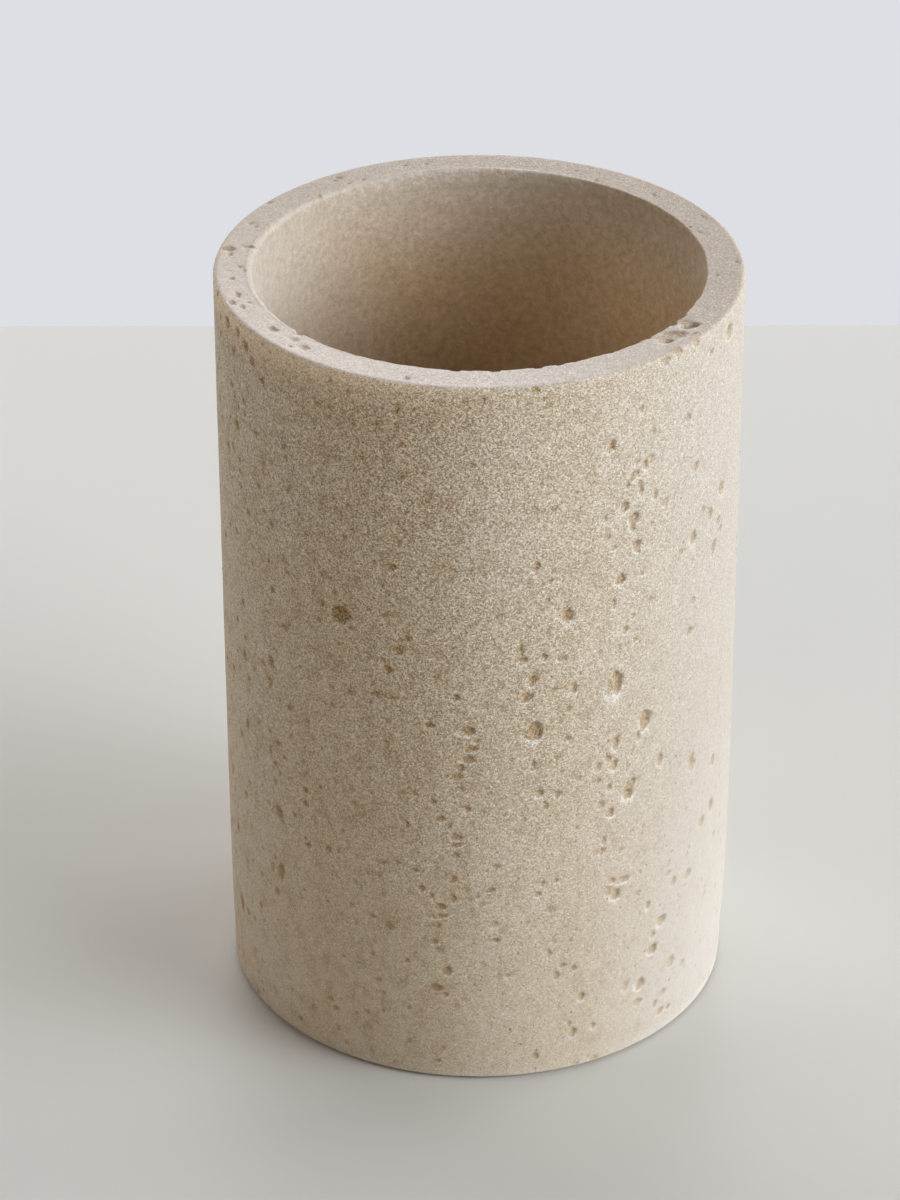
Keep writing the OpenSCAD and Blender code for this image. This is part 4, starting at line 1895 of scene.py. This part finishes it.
    def back_pit(self) -> Pit:
        """Draw one pit of the back, most of them small and a few large and sheer.

        Returns:
            The pit, with no place in the picture.
        """
        rng = self.rng
        size = min(max(rng.lognormvariate(*self.back_size), self.back_least), self.back_most)
        return Pit(0, 0, size, size * rng.uniform(*self.back_aspect),
                   min(size * rng.uniform(*self.back_depth), self.back_deepest),
                   rng.uniform(*self.back_lean), 0,
                   SHEER if size > self.sheer_from and rng.random() < self.sheer_chance else Form.BOWL)

    def unseen_hollows(self) -> list[Hollow]:
        """Hollows of the back, in the same loose upright bands as the front's.

        Returns:
            The hollows.
        """
        rng = self.rng
        made = []
        for band in self.back_bands:
            z = rng.uniform(*self.band_start)
            while z < self.tall - self.band_clear:
                top = min(z + rng.uniform(*self.band_run), self.tall - self.run_clear)
                while z < top:
                    pit = self.back_pit()
                    place = self.on_wall(band + rng.gauss(0, self.band_sway), z)
                    made.append(self.wall_hollow(place, pit, rng.randrange(SEED_END)))
                    z += rng.uniform(*self.back_gap)
                z += rng.uniform(*self.band_gap)
        for _ in range(self.strays):
            size = rng.uniform(*self.stray_size)
            pit = Pit(0, 0, size, size * rng.uniform(*self.stray_size), size * self.stray_depth)
            turn = rng.uniform(*self.stray_turn)
            place = self.on_wall(turn, rng.uniform(self.stray_clear, self.tall - self.stray_clear))
            made.append(self.wall_hollow(place, pit, rng.randrange(SEED_END)))
        return made

    def stretched(self, gap: np.ndarray, widen: np.ndarray) -> np.ndarray:
        """Tell how far a place moves from the inner edge where that edge is more rounded.

        Args:
            gap: Distance of each place from the corner along one face, in millimetres.
            widen: How much further the rounding reaches there, in millimetres.

        Returns:
            The move away from the corner, in millimetres.
        """
        fade = (self.wide_edge_reach - gap) / (self.wide_edge_reach - self.rim_crisp)
        return widen * clamped(gap / self.rim_crisp) * clamped(fade)

    def settle(self, places: np.ndarray) -> np.ndarray:
        """Let the wall wander a little, as a hand-finished casting does, never past its true size.

        Args:
            places: Vertices in metres, one row each.

        Returns:
            The moved vertices.
        """
        x, y, z = places.T / MM
        first = np.hypot(x, y)
        turn = np.arctan2(x, -y)
        off = np.abs((np.degrees(turn) - self.wide_edge_turn + 180) % 360 - 180) / self.wide_edge_span
        widen = self.wide_edge * np.exp(-off**2) * self.rim_crisp
        on_rim = (first > self.bore - self.hair) & (z > self.tall - self.wide_edge_reach)
        radius = np.where(on_rim, first + self.stretched(first - self.bore, widen), first)
        by_edge = first < self.bore + self.rim_crisp + self.hair
        z = np.where(on_rim, z - self.stretched(self.tall - z, widen) * by_edge, z)
        broad, fine, dips, knobs, crumbs = (
            lattice_noise(places / (size * MM), seed) for size, seed in self.WANDER)
        inward = self.broad_deep * share_of(broad) + self.fine_deep * share_of(fine)
        rise = clamped((z - self.foot_z) / self.draw_tall)
        full = self.foot_full * bell(turn + math.pi / 2, self.foot_full_span) * (1 - rise) ** 2
        outer = clamped((radius - self.bore - self.skin) / self.skin_fade)
        moved = np.where(radius > self.bore + self.skin, radius + (full - inward) * outer, radius)
        moved = np.minimum(moved, np.maximum(radius, self.outer))
        scale = np.where(first > self.TINY, moved / np.maximum(first, self.TINY), 1)
        top = (z > self.tall - self.dip_reach) & (radius > self.bore - self.dip_reach)
        height = np.where(top, z - self.dip_deep * share_of(dips), z)
        lip = bell(radius - self.bore, self.wear_wide)
        lip = lip * clamped((z - self.tall + self.wear_tall) / self.wear_wide)
        knobs = self.knob_share * knobs + (1 - self.knob_share) * crumbs
        scale = scale + self.edge_wear * lip * knobs / np.maximum(radius, 1)
        height = height - self.wear_down * self.edge_wear * lip * share_of(knobs)
        return np.stack([x * scale, y * scale, height], axis=1) * MM

    def keep_marks(self, cup: Solid, before: np.ndarray, pitted: np.ndarray,
                   highlight_dip: np.ndarray) -> None:
        """Keep what the finish reads at each vertex: pits, painted lip highlights, cavity, sanded rim and
        worn edges.

        Args:
            cup: The cup.
            before: Where its vertices were before they settled, in millimetres.
            pitted: How strongly each is stained.
            highlight_dip: How far each lies in a soft dip, in metres.
        """
        radius, height = np.hypot(before[:, 0], before[:, 1]), before[:, 2]
        keep_values(cup, "pitted", pitted)
        keep_values(cup, "highlight_dip", highlight_dip / MM)
        inner = clamped((self.bore + self.rim_crisp - radius) / self.rim_crisp)
        keep_values(cup, "cavity", inner * (height > self.floor_z - 1))
        down, down_fade = self.sand_tall
        back, back_fade = self.sand_wide
        ragged = self.sand_ragged * lattice_noise(before / self.sand_patch, self.SAND_SEED)
        on_top = clamped((height - self.tall + down) / down_fade)
        on_top = on_top * clamped((self.outer - back + ragged - radius) / back_fade)
        keep_values(cup, "sanded", on_top * (radius > self.bore - self.sand_inner))
        rim, edge, foot = self.outer_wear, self.inner_wear, self.foot_wear
        outer_edge = bell(radius - self.outer + rim.inset, rim.wide) * (height > self.tall - rim.ends)
        # The pale outer edge is partly a painted highlight, so it fades on the shaded left
        shaded = clamped((-before[:, 0] - self.shade_from) / self.shade_wide)
        broken = self.broken_share * lattice_noise(before / self.broken_size, self.BROKEN_SEED)
        outer_edge *= (1 - self.shade_loss * shaded) * (1 - self.broken_share + broken)
        inner_edge = bell(radius - self.bore - edge.inset, edge.wide) * (height > self.tall - edge.ends)
        foot_edge = bell(height - self.foot_z - foot.inset, foot.wide)
        foot_edge = foot_edge * (radius > self.recess_r + foot.ends)
        keep_values(cup, "edge", np.maximum(np.maximum(outer_edge, inner_edge), foot_edge))

    def make(self, camera: StudioCamera, shell: Tree, finish: Material) -> Solid:
        """Build the cup.

        Args:
            camera: The camera of the picture, for the pits' places.
            shell: Tree that turns the half section.
            finish: Material of the cast stone.

        Returns:
            The finished cup.
        """
        cup = grow("cast_cup", shell, self.section(),
                   {"Turn Steps": self.turn_steps, "Weld Distance": self.weld, "Finish": finish})
        face_outwards(cup)
        seen, unseen = self.seen_hollows(camera), self.unseen_hollows()
        carver = Carver(seen + unseen, self.pit_levels)
        inner, outer, down = self.edge_ring
        ring = ((self.bore - inner) * MM, (self.bore + outer) * MM, (self.tall - down) * MM)
        carver.refine(cup, ring, self.edge_levels)
        places = corners(cup)
        before = places / MM
        places = self.settle(places)
        pitted, highlight_dip = carver.press(places)
        put_corners(cup, places)
        self.keep_marks(cup, before, pitted, highlight_dip)
        LOG.info("cast cup: %d hollows seen, %d unseen, %d triangles", len(seen), len(unseen),
                 sum(len(p.vertices) - 2 for p in cup.data.polygons))
        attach(cup, "root")
        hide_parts("tumbler_body")
        return cup

    def make_grains(self, camera: StudioCamera, cup: Solid, grains: Tree, finish: Material) -> Solid:
        """Set dark mineral grains into the cup's surface.

        Args:
            camera: The camera of the picture, for the grains' places.
            cup: The finished cup.
            grains: Tree that sets a grain on each point.
            finish: Material of the grains.

        Returns:
            The grains as one piece.
        """
        surface = BVHTree.FromObject(cup, bpy.context.evaluated_depsgraph_get())
        rays = [(camera.place, camera.sight(x, y)) for x, y in SPECKS]
        rng = random.Random(self.seed + 1)
        far = 3 * self.outer * MM
        for _ in range(self.back_grains):
            turn = math.radians(rng.uniform(*self.grain_turn))
            z = rng.uniform(self.grain_clear, self.tall - self.grain_clear) * MM
            start = Vector((math.sin(turn) * far, -math.cos(turn) * far, z))
            rays.append((start, Vector((-start.x, -start.y, 0)).normalized()))
        points = []
        for start, sight in rays:
            hit, normal, _, _ = surface.ray_cast(start, sight)
            if hit is not None:
                points.append(hit - normal * (self.grain_sunk * MM))
        piece = grow("dark_grains", grains, [tuple(p) for p in points],
                     {"Grain Radius": self.grain_radius * MM, "Least Size": self.grain_least,
                      "Most Size": self.grain_most, "Seed": self.grain_seed, "Finish": finish})
        places = corners(piece)
        radius = np.hypot(places[:, 0], places[:, 1])
        places[:, :2] *= np.minimum(1, self.outer * MM / radius)[:, None]
        places[:, 2] = np.minimum(places[:, 2], self.tall * MM)
        put_corners(piece, places)
        LOG.info("dark grains: %d", len(points))
        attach(piece, "root")
        return piece


@dataclass
class PadSet:
    """Foam pad that the cup stands on, and the film that holds it."""

    radius: float = 31
    thick: float = 1
    cut_soft: float = 0.16
    cut_arc: int = 4
    waist: float = 0.05
    waist_steps: int = 4
    under_step: float = 2.4
    top_step: float = 3.4
    crowd: float = 0.2
    turn_steps: int = 120
    weld: float = 0.00001
    pores: int = 90
    pore_clear: float = 1.5
    pore_size: Pair = (0.5, 1.1)
    pore_deep: float = 0.18
    pore_levels: int = 3
    seed: int = 17

    def section(self) -> list[Triple]:
        """Half section of the foam disc, with its die-cut edge drawn in at mid height.

        Returns:
            Points in metres, x the radius and z the height.
        """
        soft = self.cut_soft
        flat = self.radius - soft
        points = CastCup.stretch((0, 0), (flat, 0), self.under_step, self.crowd)
        points += CastCup.arc((flat, soft), soft, -90, 0, self.cut_arc)
        for share in [i / self.waist_steps for i in range(self.waist_steps)]:
            z = soft + (self.thick - 2 * soft) * share
            points.append((self.radius - self.waist * math.sin(math.pi * share), z))
        points += CastCup.arc((flat, self.thick - soft), soft, 0, 90, self.cut_arc)
        points += CastCup.stretch((flat, self.thick), (0, self.thick), self.top_step, self.crowd)
        points.append((0, self.thick))
        return [(r * MM, 0.0, z * MM) for r, z in points]

    def make(self, shell: Tree, foam: Material, film: Material) -> Solid:
        """Build the foam pad and dress the film.

        Args:
            shell: Tree that turns the half section.
            foam: Material of the pad.
            film: Material of the film.

        Returns:
            The finished pad.
        """
        pad = grow("foam_disc", shell, self.section(),
                   {"Turn Steps": self.turn_steps, "Weld Distance": self.weld, "Finish": foam})
        face_outwards(pad)
        rng = random.Random(self.seed)
        hollows = []
        for _ in range(self.pores):
            radius = math.sqrt(rng.random()) * (self.radius - self.pore_clear)
            angle = rng.uniform(0, FULL_TURN)
            size = rng.uniform(*self.pore_size) / 2 * MM
            mouth = Vector((radius * math.sin(angle), radius * math.cos(angle), 0)) * MM
            hollows.append(Hollow(mouth, Vector((1, 0, 0)), Vector((0, 1, 0)), -UP, size, size,
                                  self.pore_deep * MM, 0, Form.BOWL, rng.randrange(SEED_END)))
        carver = Carver(hollows, self.pore_levels)
        carver.refine(pad)
        places = corners(pad)
        carver.press(places)
        put_corners(pad, places)
        LOG.info("foam pad: %d pores, %d faces", len(hollows), len(pad.data.polygons))
        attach(pad, "root")
        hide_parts("base_pad")
        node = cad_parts["pad_adhesive"]
        node.data.materials.clear()
        node.data.materials.append(film)
        LOG.info("adhesive film: carried over with its own finish")
        return pad


class Lamp(NamedTuple):
    """One soft lamp round the cup: where it stands, its power and tint."""

    name: str
    turn: float
    rise: float
    power: float
    tint: Triple


LAMPS = (
    Lamp("window_front", 60, 25, 26.0, (0.873, 0.925, 1.0)),
    Lamp("window_side", 80, 18, 23.8, (0.764, 0.878, 1.0)),
    Lamp("window_back", 120, 25, 15.0, (0.912, 0.952, 1.0)),
    Lamp("back_right", 150, 35, 2.1, (0.995, 0.996, 1.0)),
    Lamp("back", 180, 25, 8.9, (0.976, 0.982, 1.0)),
    Lamp("back_left", 210, 25, 11.8, (0.998, 0.991, 1.0)),
    Lamp("left_card", 270, 30, 5.9, (1.0, 0.953, 0.913)),
    Lamp("front_left", 330, 35, 3.7, (1.0, 0.931, 0.87)),
)


@dataclass(frozen=True)
class Studio:
    """Plain pale floor, soft lamps and an even pale surround. Sizes in metres."""

    floor_wide: float = 4.0
    floor_near: float = -1.6
    floor_far: float = 0.207
    floor_colour: Screen = (206, 202, 193)
    floor_rough: float = 0.42
    floor_specular: float = 0.3
    surround: Screen = (221, 223, 228)
    ambient: Triple = (0.02, 0.02, 0.02)
    aim: float = 0.055
    lamp_size: float = 1.2
    lamp_away: float = 2.0

    def lay_floor(self) -> Solid:
        """Make the floor: plain, pale, a little smooth, and seen only from above.

        Returns:
            The floor.
        """
        half = self.floor_wide / 2
        mesh = bpy.data.meshes.new("floor")
        mesh.from_pydata([(-half, self.floor_near, 0), (half, self.floor_near, 0),
                          (half, self.floor_far, 0), (-half, self.floor_far, 0)], [], [(0, 1, 2, 3)])
        floor = bpy.data.objects.new("floor", mesh)
        bpy.context.scene.collection.objects.link(floor)
        material, bench, shader, _ = new_material("pale_floor")
        shader.inputs["Base Color"].default_value = linear(self.floor_colour)
        shader.inputs["Roughness"].default_value = self.floor_rough
        shader.inputs["Specular IOR Level"].default_value = self.floor_specular
        clear = bench.add("ShaderNodeBsdfTransparent")
        under_side = bench.add("ShaderNodeNewGeometry").outputs["Backfacing"]
        choice = bench.add("ShaderNodeMixShader", values={0: under_side, 1: shader.outputs["BSDF"],
                                                          2: clear.outputs["BSDF"]})
        out = next(n for n in material.node_tree.nodes if n.bl_idname == "ShaderNodeOutputMaterial")
        bench.feed(out.inputs["Surface"], choice.outputs["Shader"])
        mesh.materials.append(material)
        return floor

    def hang_surround(self) -> None:
        """Give the world a soft even light, and a pale plain look behind the floor's edge."""
        world = bpy.data.worlds.new("surround")
        bpy.context.scene.world = world
        world.use_nodes = True
        world.node_tree.nodes.clear()
        bench = NodeBench(world.node_tree)
        path = bench.add("ShaderNodeLightPath")
        seen = bench.most(path.outputs["Is Camera Ray"], path.outputs["Is Transmission Ray"])
        seen = bench.most(seen, path.outputs["Is Glossy Ray"])
        light, look = (
            bench.add("ShaderNodeBackground", values={"Color": colour, "Strength": 1.0})
            for colour in ((*self.ambient, 1.0), linear(self.surround)))
        mix = bench.add("ShaderNodeMixShader", values={0: seen, 1: light.outputs["Background"],
                                                       2: look.outputs["Background"]})
        out = bench.add("ShaderNodeOutputWorld")
        bench.feed(out.inputs["Surface"], mix.outputs["Shader"])

    def hang_lamp(self, lamp: Lamp) -> Solid:
        """Hang one lamp and aim it at the cup.

        Args:
            lamp: Where it stands and how it shines.

        Returns:
            The lamp.
        """
        data = bpy.data.lights.new(lamp.name, "AREA")
        data.shape = "DISK"
        data.size = self.lamp_size
        data.energy = lamp.power
        data.color = lamp.tint
        turn, rise = math.radians(lamp.turn), math.radians(lamp.rise)
        back = Vector((math.sin(turn) * math.cos(rise), -math.cos(turn) * math.cos(rise),
                       math.sin(rise)))
        lit = bpy.data.objects.new(lamp.name, data)
        lit.rotation_euler = back.to_track_quat("Z", "Y").to_euler()
        lit.location = Vector((0, 0, self.aim)) + back * self.lamp_away
        bpy.context.scene.collection.objects.link(lit)
        return lit

    def set_up(self) -> None:
        """Set up the floor, the surround and the lamps."""
        self.lay_floor()
        self.hang_surround()
        for lamp in LAMPS:
            self.hang_lamp(lamp)
        bpy.context.scene.view_settings.view_transform = "Standard"


def main() -> None:
    """Build the tumbler and its studio."""
    logging.basicConfig(level=logging.INFO, format="%(name)s: %(message)s")
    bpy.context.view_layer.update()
    camera = StudioCamera()
    camera.set_up()
    effects = SurfaceEffects()
    shell, grains = turned_shell_tree(), scattered_grain_tree()
    cup_sizes = CastCup()
    cup = cup_sizes.make(camera, shell, CastStoneFinish().make(effects))
    cup_sizes.make_grains(camera, cup, grains, DARK_GRAIN.make(effects))
    PadSet().make(shell, FoamFinish().make(effects), FILM.make(effects))
    Studio().set_up()
    LOG.info("boxes written")


if __name__ == "__main__":
    main()
